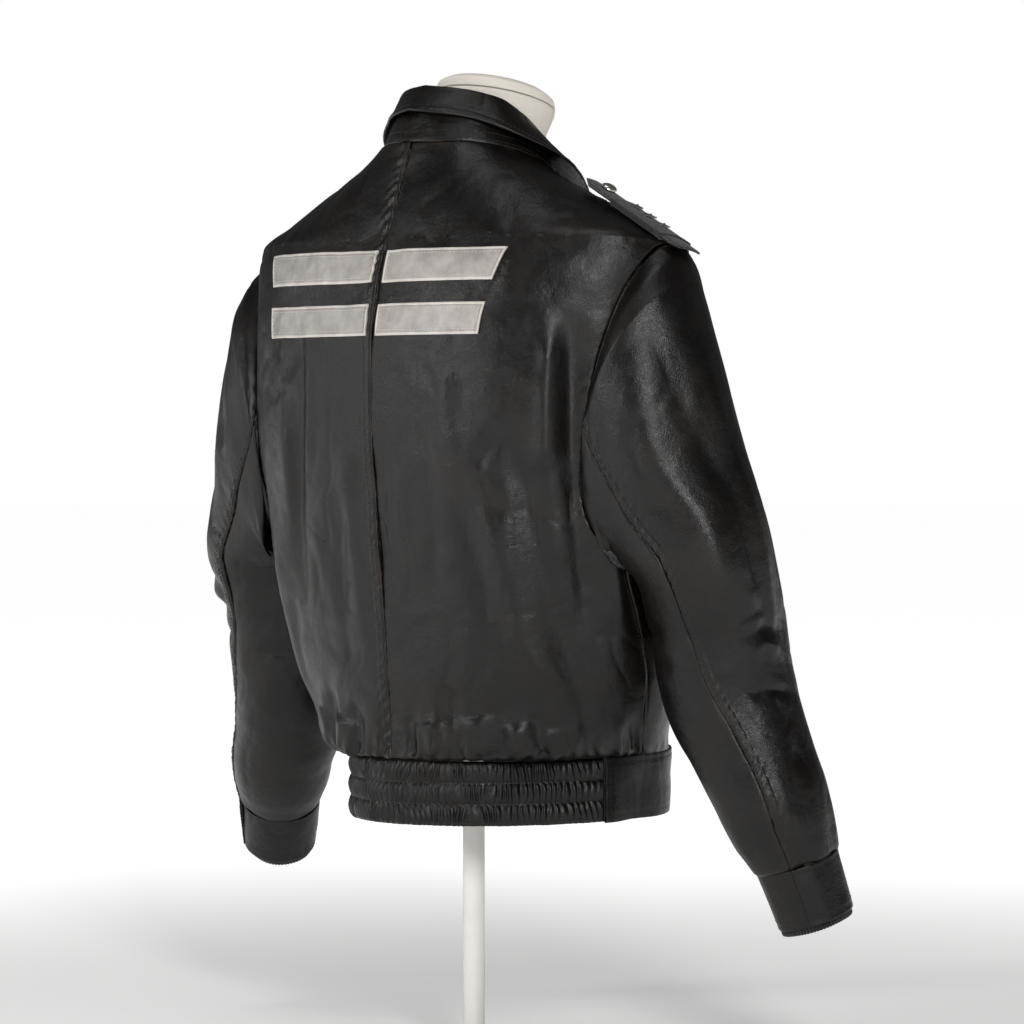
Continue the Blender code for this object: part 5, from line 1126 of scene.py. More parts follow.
@dataclass
class Sleeve:
    """One sleeve: an upper and an under piece, lofted through rings from the armhole to the cuff."""

    side: Side
    torso: Torso
    upper_columns: int = 112
    under_columns: int = 64
    rows: int = 190
    armhole_rows: tuple = (0.518, 0.527, 0.552, 0.592, 0.640, 0.680, 0.720, 0.750, 0.772, 0.803, 0.8145)
    rear_row: int = 4
    front_row: int = 5
    fullness_turn: float = math.radians(48.0)
    blend_end: float = 0.43
    lead: float = 0.006
    lead_start: float = 0.02
    lead_end: float = 0.30
    clear: float = 0.0045
    clear_start: float = 0.14
    soft_contact: float = 0.004
    round_reach: float = 0.070
    down_reach: float = 0.480
    seam_puckers: Puckers = Puckers(0.0012, 0.0105, 0.0120, 61)
    folds: dict = field(default_factory=lambda: {
        Side.RIGHT: (
            Crease(-0.0042, 0.012, ((0.056, 0.040), (0.044, 0.140), (0.030, 0.260)), 1.5),
            Crease(0.0032, 0.011, ((0.082, 0.060), (0.070, 0.200))),
            Crease(0.0026, 0.014, ((0.018, 0.060), (0.010, 0.180), (0.014, 0.300))),
            Crease(-0.0032, 0.010, ((-0.010, 0.264), (0.040, 0.250), (0.078, 0.262)), 1.3),
            Crease(0.0022, 0.008, ((0.010, 0.280), (0.045, 0.270), (0.072, 0.284))),
            Crease(-0.0022, 0.007, ((0.030, 0.236), (0.050, 0.228), (0.074, 0.236))),
            Crease(-0.0028, 0.010, ((0.015, 0.348), (0.060, 0.335), (0.080, 0.340)), 1.3),
            Crease(0.0018, 0.008, ((0.020, 0.362), (0.055, 0.352))),
            Crease(-0.0020, 0.009, ((0.030, 0.408), (0.060, 0.398))),
            Crease(-0.0026, 0.013, ((-0.050, 0.100), (-0.040, 0.230))),
            Crease(-0.0028, 0.010, ((0.150, 0.235), (0.190, 0.250), (0.230, 0.240))),
            Crease(-0.0024, 0.009, ((0.150, 0.285), (0.200, 0.275))),
        ),
        Side.LEFT: (
            Crease(-0.0044, 0.012, ((0.030, 0.035), (0.092, 0.080)), 1.4),
            Crease(-0.0038, 0.010, ((0.045, 0.185), (0.080, 0.190), (0.115, 0.208)), 1.4),
            Crease(0.0028, 0.009, ((0.055, 0.208), (0.108, 0.216))),
            Crease(-0.0038, 0.010, ((0.055, 0.244), (0.118, 0.224)), 1.4),
            Crease(-0.0028, 0.008, ((0.060, 0.268), (0.110, 0.280))),
            Crease(0.0030, 0.012, ((-0.020, 0.090), (-0.010, 0.230))),
            Crease(-0.0024, 0.011, ((0.060, 0.110), (0.090, 0.150))),
            Crease(-0.0024, 0.010, ((0.050, 0.345), (0.100, 0.352))),
            Crease(-0.0020, 0.009, ((0.050, 0.400), (0.095, 0.396))),
            Crease(-0.0028, 0.010, ((0.150, 0.235), (0.190, 0.250), (0.230, 0.240))),
            Crease(-0.0024, 0.009, ((0.150, 0.285), (0.200, 0.275))),
        ),
    })

    def centre(self, station: float) -> np.ndarray:
        """A point of the sleeve's axis; the left forearm hangs a little further forward and up."""
        point = np.array([table_curve(SLEEVE_STATIONS, column, station) for column in (1, 2, 3)])
        if self.side is Side.LEFT:
            shift = [table_curve(LEFT_FOREARM_SHIFT, column, station) for column in (1, 2, 3)]
            point = point + np.array(shift)
        return point

    def frame_at(self, station: float) -> tuple:
        """Axis point, outward and rearward directions and half sizes at a station."""
        reach = 0.02
        axis = unit(self.centre(min(station + reach, 1.0)) - self.centre(max(station - reach, 0.0)))
        rearward = unit(np.array([0.0, 1.0, 0.0]) - axis[1] * axis)
        outward = unit(np.cross(axis, rearward))
        outward = outward * np.sign(outward[0])
        sizes = [float(table_curve(SLEEVE_STATIONS, column, station)) for column in (4, 5)]
        return self.centre(station), outward, rearward, sizes[0], sizes[1]

    def ring(self, station: float, angles: np.ndarray) -> np.ndarray:
        """An oval round the axis, fuller at the rear and outward side."""
        centre, outward, rearward, half_width, half_depth = self.frame_at(station)
        away = np.angle(np.exp(1j * (angles - self.fullness_turn)))
        full = table_curve(SLEEVE_STATIONS, 8, station) * np.exp(-(away / self.fullness_turn) ** 2)
        across = (np.cos(angles) * (half_width + full))[:, None] * outward
        return centre + across + (np.sin(angles) * (half_depth + full))[:, None] * rearward

    def cleared(self, points: np.ndarray, margin: float) -> np.ndarray:
        """The points pressed softly out of the torso: half the sum of the gap and its hypotenuse."""
        levels = np.clip(points[:, 2], TORSO.levels[3], self.armhole_rows[0])
        offset = points[:, 1] - TORSO.at("centre_y", levels)
        share = np.clip(np.abs(offset) / TORSO.depth(levels, offset >= 0.0), 0.0, 0.999)
        roundness = TORSO.at("roundness", levels)
        wall_x = TORSO.at("half_width", levels) * (1.0 - share ** roundness) ** (1.0 / roundness) + margin
        gap = points[:, 0] - wall_x
        moved = points.copy()
        moved[:, 0] = wall_x + (gap + np.sqrt(gap ** 2 + self.soft_contact ** 2)) / 2.0
        return moved

    def seam_turns(self) -> tuple[np.ndarray, np.ndarray]:
        """The solid's turns round the armhole for the upper piece and for the under piece."""
        rear = [float(self.torso.armhole_turn(level)) for level in reversed(self.armhole_rows)]
        turns = np.array(rear + [-turn for turn in reversed(rear[1:-1])])
        count, last = len(turns), len(self.armhole_rows) - 1
        rear_index, front_index = last - self.rear_row, count - (last - self.front_row)
        found = []
        for first, end in ((front_index - count, rear_index), (rear_index, front_index)):
            picks = [index % count for index in range(first, end + 1)]
            signed = np.unwrap(turns[picks])
            found.append(signed - 2.0 * math.pi * round((signed[0] - turns[picks[0]]) / (2.0 * math.pi)))
        return found[0], found[1]

    def armhole_points(self, turns: np.ndarray) -> np.ndarray:
        """The armhole seam's points on the torso, moved across the seam by its gap."""
        levels = self.torso.armhole_middle + self.torso.armhole_half * np.cos(turns)
        y = self.torso.armhole_y(np.angle(np.exp(1j * turns)))
        angles = [float(TORSO.angle_at(value, level)) for value, level in zip(y, levels)]
        arcs = np.array([[TORSO.arc_at(angle, level)] for angle, level in zip(angles, levels)])
        points, _ = self.torso.surface(self.side, arcs, levels)
        return points[:, 0] + np.array([SEAM_GAP, 0.0, 0.0])

    def spread(self, signed: np.ndarray, coarse: np.ndarray, station: float) -> np.ndarray:
        """Angles round the sleeve, from the armhole's own points to an even spread between the seams."""
        rear = math.radians(float(table_curve(SLEEVE_STATIONS, 6, station)))
        front = math.radians(float(table_curve(SLEEVE_STATIONS, 7, station)))
        upper = coarse[0] < 0.0
        start, end = (front, rear) if upper else (rear, front + 2.0 * math.pi)
        drawn = (signed - coarse[0]) / (coarse[-1] - coarse[0])
        even = np.interp(signed, coarse, np.linspace(0.0, 1.0, len(coarse)))
        share = float(smooth_step(min(station / self.blend_end, 1.0)))
        return start + (end - start) * (drawn + (even - drawn) * share)

    def shell(self, coarse: np.ndarray, columns: int) -> tuple:
        """A sleeve piece's grid before its relief, and the flat coordinates of its points.

        Args:
            coarse: the solid's turns, from one seam to the other.
            columns: number of points across.

        Returns:
            The grid, distances round and distances down.
        """
        share = graded(columns, 0.6)
        index = np.linspace(0.0, 1.0, len(coarse))
        signed = np.interp(share, index, coarse)
        stations = np.linspace(0.0, 1.0, self.rows) ** 1.12
        pull = self.armhole_points(signed) - self.ring(0.0, self.spread(signed, coarse, 0.0))
        lead = smooth_step(0.75 - np.sin(signed) - 0.60 * np.cos(signed))
        rows = []
        for station in stations:
            ring = self.ring(station, self.spread(signed, coarse, station))
            ring = ring + pull * (1.0 - smooth_step(min(station / self.blend_end, 1.0)))
            rise = min(station / self.lead_start, 1.0)
            fade = 1.0 - smooth_step((station - self.lead_start) / (self.lead_end - self.lead_start))
            ring[:, 0] += lead * float(self.lead * rise * fade)
            settle = float(smooth_step(station / self.clear_start))
            touch = max(settle, 0.4 * min(station / self.lead_start, 1.0))
            rows.append(ring + (self.cleared(ring, self.clear * settle) - ring) * touch)
        around, down = np.meshgrid(self.round_reach * signed, self.down_reach * stations)
        return np.array(rows), around, down

    def piece(self, upper: bool, finishes: Finishes, stitching: Stitching) -> bpy.types.Object:
        """Makes the upper or the under sleeve with its stitches."""
        coarse = self.seam_turns()[0 if upper else 1]
        name = ("upper" if upper else "under") + "_sleeve_" + self.side.word
        grid, around, down = self.shell(coarse, self.upper_columns if upper else self.under_columns)
        normals = grid_normals(grid)
        stations = np.linspace(0.0, 1.0, self.rows) ** 1.12
        middle = np.array([self.centre(station) for station in stations])[:, None]
        normals = normals * np.sign(np.sum(normals * (grid - middle), axis=-1).mean())
        seed = 200 + 10 * self.side.value + int(upper)
        relief = sum(crease.relief(around, down) for crease in self.folds[self.side])
        relief = relief + worn_surface(around, down, seed)
        seam = edge_distance(grid, "e" if upper else "s")
        if upper:
            relief = relief + self.seam_puckers.relief(seam, down)
            relief = relief + 0.0006 * smooth_step(1.0 - (seam - 0.0085) / 0.0012)
        relief = relief + Puckers(0.0005, 0.0100, 0.0080, seed + 5).relief(edge_distance(grid, "t"), around)
        relief = relief * smooth_step(edge_distance(grid, "t") / 0.004 + 0.4)
        grid = grid + normals * relief[..., None]
        lines = [("t", 0.0030, 2, -2)]
        if upper:
            lines += [("e", 0.0026, 6, -2), ("e", 0.0078, 6, -2)]
        for border, inset, first, last in lines:
            points, out = offset_line(grid, normals, border, inset)
            stitching.run(points[first:last], out[first:last], self.side.value)
        piece = Cloth(name + "_leather", grid, normals, finishes.leather, "leather", self.side.value).build()
        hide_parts(name)
        area = sheet_area(piece)
        LOG.info("%s: %d by %d points", piece.name, *grid.shape[:2])
        return piece


@dataclass
class Cuff:
    """A leather strip that laps over itself, with a ribbed knit tube hanging out of it."""

    sleeve: Sleeve
    length: float = 0.0575
    top_radius: float = 0.0420
    bottom_radius: float = 0.0385
    wall: float = 0.0024
    start_deg: float = 43.0
    end_deg: float = 421.0
    lift_deg: float = 45.0
    lift: float = 0.0028
    columns: int = 150
    rows: int = 30
    knit_start: float = 0.55
    knit_end: float = 1.10
    knit_radius: float = 0.0343
    knit_wall: float = 0.0016
    ribs: int = 64
    rib_height: float = 0.0011
    rib_columns: int = 6
    knit_rows: int = 16

    def ends(self) -> tuple:
        """Centres of the top and bottom edges and the outward and rearward directions."""
        centre, outward, rearward, _, _ = self.sleeve.frame_at(1.0)
        axis = unit(np.cross(outward, rearward))
        axis = axis * -np.sign(axis[2])
        top = centre + axis * SEAM_GAP
        return top, top + axis * self.length, outward, rearward

    def strip(self, finishes: Finishes, stitching: Stitching) -> bpy.types.Object:
        """The leather strip: a cone whose last stretch steps over its own start."""
        side = self.sleeve.side
        top, bottom, outward, rearward = self.ends()
        degrees = np.linspace(self.start_deg, self.end_deg, self.columns)
        lift = self.lift * smooth_step((degrees - self.end_deg + self.lift_deg) / (self.lift_deg * 0.5))
        turns = np.radians(degrees)
        direction = np.cos(turns)[:, None] * outward + np.sin(turns)[:, None] * rearward
        share = np.linspace(0.0, 1.0, self.rows)[:, None]
        around = np.broadcast_to(turns * self.top_radius, (self.rows, self.columns))
        down = np.broadcast_to(share * self.length, around.shape)
        lie = worn_surface(around, down, 300 + side.value) * 0.7
        near = np.minimum(down, self.length - down)
        lie = lie - 0.0004 * np.exp(-((near - 0.0046) / 0.0012) ** 2)
        radius = self.top_radius + (self.bottom_radius - self.top_radius) * share + lift
        centre = (top + (bottom - top) * share)[:, None]
        outer = centre + direction * (radius + lie)[..., None]
        inner = centre + direction * (radius - self.wall)[..., None]
        out = np.broadcast_to(direction, outer.shape)
        for border, inset in (("t", 0.0040), ("b", 0.0040), ("b", 0.0085), ("e", 0.0035)):
            points, normals = offset_line(outer, out, border, inset)
            stitching.run(points[3:-3], normals[3:-3], side.value)
        name = "cuff_" + side.word
        piece = closed_wall(name + "_leather", outer, inner, finishes.leather, side.value)
        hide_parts(name)
        return piece

    def knit(self, finishes: Finishes) -> bpy.types.Object:
        """The ribbed tube: its radius rises and falls with each rib, and its hem is turned in."""
        side = self.sleeve.side
        top, bottom, outward, rearward = self.ends()
        turns = np.linspace(0.0, 2.0 * math.pi, self.ribs * self.rib_columns, endpoint=False)
        direction = np.cos(turns)[:, None] * outward + np.sin(turns)[:, None] * rearward
        share = np.linspace(self.knit_start, self.knit_end, self.knit_rows)[:, None]
        rib = self.rib_height * np.abs(np.sin(turns * self.ribs / 2.0)) ** 0.7
        slack = 0.0012 * soft_noise(np.cos(turns) * 0.03 + 0.0 * share,
                                    np.sin(turns) * 0.03 + share * 0.05, 0.02, 71)
        centre = (top + (bottom - top) * share)[:, None]
        outer = centre + direction * (self.knit_radius + rib + slack * 0.6)[..., None]
        inner = centre + direction * (self.knit_radius - self.knit_wall + slack * 0.6)[..., None]
        name = "knit_cuff_" + side.word
        piece = closed_wall(name + "_rib", outer, inner, finishes.knit, side.value, wrap=True)
        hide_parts(name)
        return piece


# Waistband


@dataclass
class Waistband:
    """An elasticated back in three gathered channels and a plain tab on each side of the zip."""

    half_width: float = 0.162
    centre_y: float = -0.090
    rear_y: float = 0.118
    front_y: float = -0.190
    bottom: float = 0.2420
    height: float = 0.0620
    front_rise: float = 0.0080
    wall: float = 0.0030
    tab_angle: float = math.radians(18.6)
    tab_gap: float = 0.00036
    zip_half_opening: float = 0.0053
    channels: int = 3
    roll: float = 0.0030
    gather: float = 0.0014
    gather_spacing: float = 0.0066
    columns: int = 540
    rows: int = 46
    tab_columns: int = 110
    tab_rows: int = 30

    def point(self, angle: np.ndarray, out: np.ndarray, up: np.ndarray) -> np.ndarray:
        """A point at an angle from the side, moved out and up from the lower outer edge."""
        sine = np.sin(angle)
        depth = np.where(sine >= 0.0, self.rear_y - self.centre_y, self.centre_y - self.front_y)
        y = self.centre_y + depth * sine
        normal = unit(np.stack([np.cos(angle) / self.half_width, sine / depth], axis=-1))
        rise = self.front_rise * ((self.rear_y - y) / (self.rear_y - self.front_y)) ** 2
        x = self.half_width * np.cos(angle) + normal[..., 0] * out
        return np.stack([x, y + normal[..., 1] * out, self.bottom + rise + up], axis=-1)

    def angles(self, start: float, end: float, count: int) -> tuple[np.ndarray, np.ndarray]:
        """Angles at even distances along the band, and those distances."""
        dense = np.linspace(start, end, 1441)
        steps = np.linalg.norm(np.diff(self.point(dense, 0.0, 0.0), axis=0), axis=1)
        arcs = np.concatenate([[0.0], np.cumsum(steps)])
        where = np.linspace(0.0, arcs[-1], count)
        return np.interp(where, arcs, dense), where

    def back(self, finishes: Finishes, stitching: Stitching) -> bpy.types.Object:
        """Each channel is a half-round roll with a wavering ripple that dies at its stitched lines."""
        angles, arcs = self.angles(self.tab_angle, math.pi - self.tab_angle, self.columns)
        up = np.linspace(0.0, self.height, self.rows)[:, None]
        part = up / self.height * self.channels
        channel = np.minimum(np.floor(part), self.channels - 1)
        swell = np.sin(np.clip(part - channel, 0.0, 1.0) * math.pi) ** 0.75
        arc = np.broadcast_to(arcs, (self.rows, self.columns))
        shift = soft_noise(arc, up * 0.5 + channel * 0.4, 0.016, 81) * 0.0042 + channel * 0.0029
        shift = shift + soft_noise(arc, up, 0.007, 82) * 0.0009
        ripple = np.sin((arc + shift) * 2.0 * math.pi / self.gather_spacing)
        deep = 0.75 + 0.45 * soft_noise(arc, up * 0.3 + channel, 0.013, 83)
        ends = smooth_step(arc / 0.006) * smooth_step((arcs[-1] - arc) / 0.006)
        out = (self.roll * swell + self.gather * deep * ripple * (0.35 + 0.65 * swell)) * ends
        out = out + 0.0005 * soft_noise(arc, up, 0.011, 84) - 0.0012
        spread = np.broadcast_to(angles, out.shape)
        outer = self.point(spread, out, np.broadcast_to(up, out.shape))
        inner = self.point(spread, np.full(out.shape, -self.wall), np.broadcast_to(up, out.shape))
        away = unit(outer - inner)
        for line in range(1, self.channels):
            row = int(round(line * (self.rows - 1) / self.channels))
            stitching.run(outer[row, 4:-4], away[row, 4:-4], 1, 0.0002)
        for row in (2, self.rows - 3):
            stitching.run(outer[row, 4:-4], away[row, 4:-4], 1, 0.0002)
        piece = closed_wall("waistband_gathered", outer[::-1], inner[::-1], finishes.leather)
        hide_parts("waistband_back")
        flat = (round(float(arcs[-1]) * 1.45, 3), round(self.height, 3))
        LOG.info("%s: %d by %d points", piece.name, self.rows, self.columns)
        return piece

    def tab(self, side: Side, finishes: Finishes, stitching: Stitching) -> bpy.types.Object:
        """A plain doubled tab with edge stitching, softly dented."""
        front = -RIGHT_ANGLE + self.zip_half_opening / self.half_width
        angles, arcs = self.angles(self.tab_angle, front, self.tab_columns)
        angles[0] -= self.tab_gap / self.half_width
        up = np.linspace(0.0, self.height, self.tab_rows)[:, None]
        arc = np.broadcast_to(arcs, (self.tab_rows, self.tab_columns))
        near = np.minimum(np.minimum(up, self.height - up), np.minimum(arc, arcs[-1] - arc))
        out = worn_surface(arc, up, 350 + side.value) * 0.8 + 0.0006 * smooth_step(near / 0.008)
        out = out - 0.0005 * np.exp(-((near - 0.0055) / 0.0014) ** 2)
        spread = np.broadcast_to(angles, out.shape)
        outer = self.point(spread, out, np.broadcast_to(up, out.shape))
        inner = self.point(spread, np.full(out.shape, -self.wall), np.broadcast_to(up, out.shape))
        away = unit(outer - inner)
        for border in "tbse":
            points, normals = offset_line(outer, away, border, 0.0055)
            stitching.run(points[6:-6] if border in "tb" else points[4:-4],
                          normals[6:-6] if border in "tb" else normals[4:-4], side.value)
        name = "waistband_tab_" + side.word
        piece = closed_wall(name + "_leather", outer[::-1], inner[::-1], finishes.leather,
                            side.value)
        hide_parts(name)
        round(self.height, 3)
        return piece


# Collar


def refined(rows: np.ndarray, count: int) -> np.ndarray:
    """More rows through a few, by Catmull-Rom blends over the rows' mean distance apart.

    Args:
        rows: rows by columns by three.
        count: number of rows wanted.

    Returns:
        The finer grid.
    """
    steps = np.linalg.norm(np.diff(rows, axis=0), axis=-1).mean(axis=1)
    knots = np.concatenate([[0.0], np.cumsum(np.sqrt(steps))])
    where = np.linspace(0.0, knots[-1], count)
    index = np.clip(np.searchsorted(knots, where, side="right") - 1, 0, len(steps) - 1)
    t = ((where - knots[index]) / (knots[index + 1] - knots[index]))[:, None, None]
    last = len(rows) - 1
    before, here = rows[np.maximum(index - 1, 0)], rows[index]
    there, after = rows[index + 1], rows[np.minimum(index + 2, last)]
    leave, arrive = (there - before) / 2.0, (after - here) / 2.0
    return ((2 * t ** 3 - 3 * t ** 2 + 1) * here + (t ** 3 - 2 * t ** 2 + t) * leave
            + (3 * t ** 2 - 2 * t ** 3) * there + (t ** 3 - t ** 2) * arrive)


def both_sides(half: np.ndarray) -> np.ndarray:
    """A row on the left joined to its mirror image, from the right end to the left end."""
    return np.concatenate([(half * np.array([-1.0, 1.0, 1.0]))[::-1], half[1:]], axis=0)


@dataclass
class Collar:
    """A stand sewn to the neck seam and a fall that turns over its top."""

    torso: Torso
    columns: int = 130
    stand_rows: int = 20
    fall_rows: int = 44
    middle: tuple = (0.0, 0.006, 0.0)
    stand_gap: float = 0.0004
    insets: tuple = ((0.0, 0.020), (0.5, 0.016), (1.0, 0.007))
    heights: tuple = ((0.0, 0.054), (0.35, 0.046), (0.6, 0.036), (0.85, 0.030), (1.0, 0.028))
    fall_edge: tuple = ((0.0, 0.024, 0.020), (0.25, 0.026, 0.013), (0.45, 0.033, 0.028), (0.60, 0.037, 0.041),
                        (0.80, 0.048, 0.046), (1.0, 0.062, 0.048))
    fall_steps: int = 5
    fall_power: float = 1.10
    fall_start: float = 0.0008
    fall_end: float = 0.93
    fall_clear: float = 0.0020

    def seam(self) -> tuple:
        """Neck seam points, the way into the wall and the way up across the seam."""
        level = float(TORSO.levels[-1])
        end = TORSO.arc_at(-RIGHT_ANGLE, level) - self.torso.zip_half_opening
        arcs = np.linspace(0.0, end, self.columns)
        points, normals = self.torso.surface(Side.LEFT, arcs[None, :], np.array([level]))
        points = points[0]
        between = unit(normals[0] + unit(points * np.array([1.0, 1.0, 0.0])))
        across = unit(np.cross(unit(np.gradient(points, axis=0)), between))
        across = across * np.sign(across[:, 2:])
        across[0, 0] = 0.0
        return arcs / end, points, -between * LEATHER_WALL, across

    def fold(self) -> tuple:
        """The top fold: each seam point moved up and inward, with its outward direction and part."""
        part, points, _, _ = self.seam()
        outward = unit((points - np.array(self.middle)) * np.array([1.0, 1.0, 0.0]))
        fold = points - outward * table_curve(self.insets, 1, part)[:, None]
        fold[:, 2] += table_curve(self.heights, 1, part)
        return fold, outward, part

    def stand(self, finishes: Finishes, stitching: Stitching) -> bpy.types.Object:
        """Straight rows from the seam to the fold, softly bowed, with stitches along the seam."""
        _, edge, mitres, across = self.seam()
        fold, outward, part = self.fold()
        outer, inner = [], []
        for share in np.linspace(0.0, 1.0, self.stand_rows):
            line = edge + across * self.stand_gap
            line = line + (fold - line) * share
            back = unit(mitres * (1.0 - share) - outward * LEATHER_WALL * share) * LEATHER_WALL
            down = np.full(part.shape, share * 0.05)
            lie = worn_surface(part * 0.24, down, 401) * 0.6 * math.sin(math.pi * share)
            outer.append(both_sides(line - back / LEATHER_WALL * lie[:, None]))
            inner.append(both_sides(line + back))
        outer, inner = np.array(outer), np.array(inner)
        away = unit(outer - inner)
        points, normals = offset_line(outer, away, "t", 0.0028)
        stitching.run(points[3:-3], normals[3:-3])
        points, normals = offset_line(outer, away, "t", 0.0105)
        stitching.run(points[3:-3], normals[3:-3])
        piece = closed_wall("collar_stand_leather", outer, inner, finishes.leather)
        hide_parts("collar_stand")
        long = 2.0 * float(np.linalg.norm(np.diff(edge, axis=0), axis=1).sum())
        round(min(sheet_area(piece) / 2.0, long * 0.054), 4)
        return piece

    def fall(self, finishes: Finishes, stitching: Stitching) -> bpy.types.Object:
        """Over the stand's top edge, then out and down to the free edge, rounded by finer rows."""
        fold, outward, part = self.fold()
        keep = part <= self.fall_end
        fold, outward, part = fold[keep], outward[keep], part[keep] / part[keep][-1]
        drop, flare = table_curve(self.fall_edge, 1, part), table_curve(self.fall_edge, 2, part)
        up = np.array([0.0, 0.0, 1.0])
        under = [fold + outward * out + up * SEAM_GAP for out in (-LEATHER_WALL, self.fall_start)]
        over = [line + up * LEATHER_WALL for line in under]
        over[1] = over[1] + outward * self.fall_start - up * SEAM_GAP
        for share in np.linspace(0.0, 1.0, self.fall_steps)[1:]:
            out = self.fall_start + (flare - self.fall_start) * share ** self.fall_power
            line = fold + outward * out[:, None]
            line[:, 2] += SEAM_GAP - drop * share
            line[:, 2] = np.maximum(line[:, 2], TORSO.height_over(line[:, 0], line[:, 1]) + self.fall_clear)
            under.append(line)
            over.append(line + unit(outward * drop[:, None] + up * flare[:, None]) * LEATHER_WALL)
        outer = refined(np.array([both_sides(line) for line in over]), self.fall_rows)
        inner = refined(np.array([both_sides(line) for line in under]), self.fall_rows)
        away = unit(outer - inner)
        along = np.linspace(-1.0, 1.0, outer.shape[1])[None, :] * 0.24 + np.zeros((self.fall_rows, 1))
        down = np.linspace(0.0, 0.06, self.fall_rows)[:, None] + np.zeros((1, outer.shape[1]))
        inset = edge_distance(outer, "bse")
        lie = worn_surface(along, down, 402) * 0.7 + 0.0007 * np.exp(-(inset / 0.0055) ** 2)
        lie = lie - 0.0006 * np.exp(-((inset - 0.0070) / 0.0016) ** 2)
        lie = lie + Puckers(0.00022, 0.0085, 0.009, 409).relief(edge_distance(outer, "b"), along)
        lie = lie * smooth_step(edge_distance(outer, "t") / 0.004)
        outer = outer + away * lie[..., None]
        for border in "bse":
            points, normals = offset_line(outer, away, border, 0.0070)
            keep = slice(4, -4) if border == "b" else slice(14, -8)
            stitching.run(points[keep], normals[keep])
        piece = closed_wall("collar_fall_leather", outer, inner, finishes.leather)
        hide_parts("collar_fall")
        area = sheet_area(piece) / 2.0
        return piece


# Shoulder straps


@dataclass
class ShoulderStrap:
    """A cloth strap along the shoulder with a slip-on slide; its stars and button stay the solids."""

    side: Side
    near_x: float = 0.120
    far_x: float = 0.240
    inner_x: float = 0.156
    outer_x: float = 0.281
    width: float = 0.042
    thick: float = 0.0028
    inner_rise: float = 0.0110
    outer_rise: float = -0.0005
    curve_x: float = 0.205
    point_length: float = 0.014
    round_length: float = 0.010
    slide_ends: tuple = (0.200, 0.262)
    slide_wall: float = 0.0013
    slide_gap: float = 0.0004
    rows: int = 90
    columns: int = 34
    slide_rows: int = 44
    slide_columns: int = 26

    def height(self, x: np.ndarray, y: np.ndarray) -> np.ndarray:
        """Underside of the strap: the shoulder's cross curve carried along its straight line."""
        ends = [float(TORSO.height_over(np.array(at), np.array(0.0))) for at in (self.near_x, self.far_x)]
        line = ends[0] + (ends[1] - ends[0]) * (x - self.near_x) / (self.far_x - self.near_x)
        middle = np.full(np.shape(y), self.curve_x)
        cross = TORSO.height_over(middle, y) - TORSO.height_over(middle, np.zeros(np.shape(y)))
        share = (x - self.inner_x) / (self.outer_x - self.inner_x)
        return line + self.inner_rise + (self.outer_rise - self.inner_rise) * share + cross

    def strap(self, finishes: Finishes, stitching: Stitching) -> bpy.types.Object:
        """The strap, pointed at the collar end and rounded at the sleeve end, with a padded middle."""
        share = np.linspace(0.0, 1.0, self.rows)
        x = self.inner_x + (self.outer_x - self.inner_x) * share
        point = np.clip((x - self.inner_x) / self.point_length, 0.0, 1.0)
        tip = np.clip((self.outer_x - x) / self.round_length, 0.0, 1.0)
        half = self.width / 2.0 * (0.35 + 0.65 * point) * (0.55 + 0.45 * np.sqrt(1.0 - (1.0 - tip) ** 2))
        y = half[:, None] * np.linspace(-1.0, 1.0, self.columns)[None, :]
        x = x[:, None] + 0.0 * y
        under = np.stack([x, y, self.height(x, y)], axis=-1)
        up = np.array([0.0, 0.0, 1.0])
        over = under + up * self.thick
        near = edge_distance(over, "setb")
        over = over - up * (0.0007 * np.exp(-((near - 0.003) / 0.0009) ** 2)
                            + 0.0008 * np.exp(-(near / 0.0012) ** 2))[..., None]
        for border in "se":
            points, normals = offset_line(over, np.broadcast_to(up, over.shape), border, 0.0030)
            stitching.run(points[3:-3], normals[3:-3], self.side.value)
        name = "shoulder_strap_" + self.side.word
        piece = closed_wall(name + "_cloth", over, under, finishes.strap, self.side.value)
        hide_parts(name)
        return piece

    def slide(self, finishes: Finishes) -> bpy.types.Object:
        """A flat loop of cloth round the strap, with raised bound edges."""
        across = np.linspace(-1.0, 1.0, self.slide_columns)
        xs = np.linspace(self.slide_ends[0], self.slide_ends[1], self.slide_rows)
        near = np.minimum(xs - xs[0], xs[-1] - xs)
        bound = 0.0004 * smooth_step((0.0034 - near) / 0.001)

        def loop(x: float, grow: float) -> np.ndarray:
            """A closed loop round the strap's section, grown outward."""
            y = (self.width / 2.0 + grow) * across
            top = self.height(x, y) + self.thick + grow
            bottom = self.height(x, y) - grow
            over = np.stack([np.full(y.shape, x), y, top], axis=-1)
            below = np.stack([np.full(y.shape, x), y, bottom], axis=-1)
            return np.concatenate([over, below[::-1]], axis=0)

        outer = np.array([loop(x, self.slide_gap + self.slide_wall + extra) for x, extra in zip(xs, bound)])
        inner = np.array([loop(x, self.slide_gap) for x in xs])
        name = "strap_slide_" + self.side.word
        piece = closed_wall(name + "_cloth", outer, inner, finishes.strap, self.side.value,
                            wrap=True)
        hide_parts(name)
        return piece


# Applied bars on the back


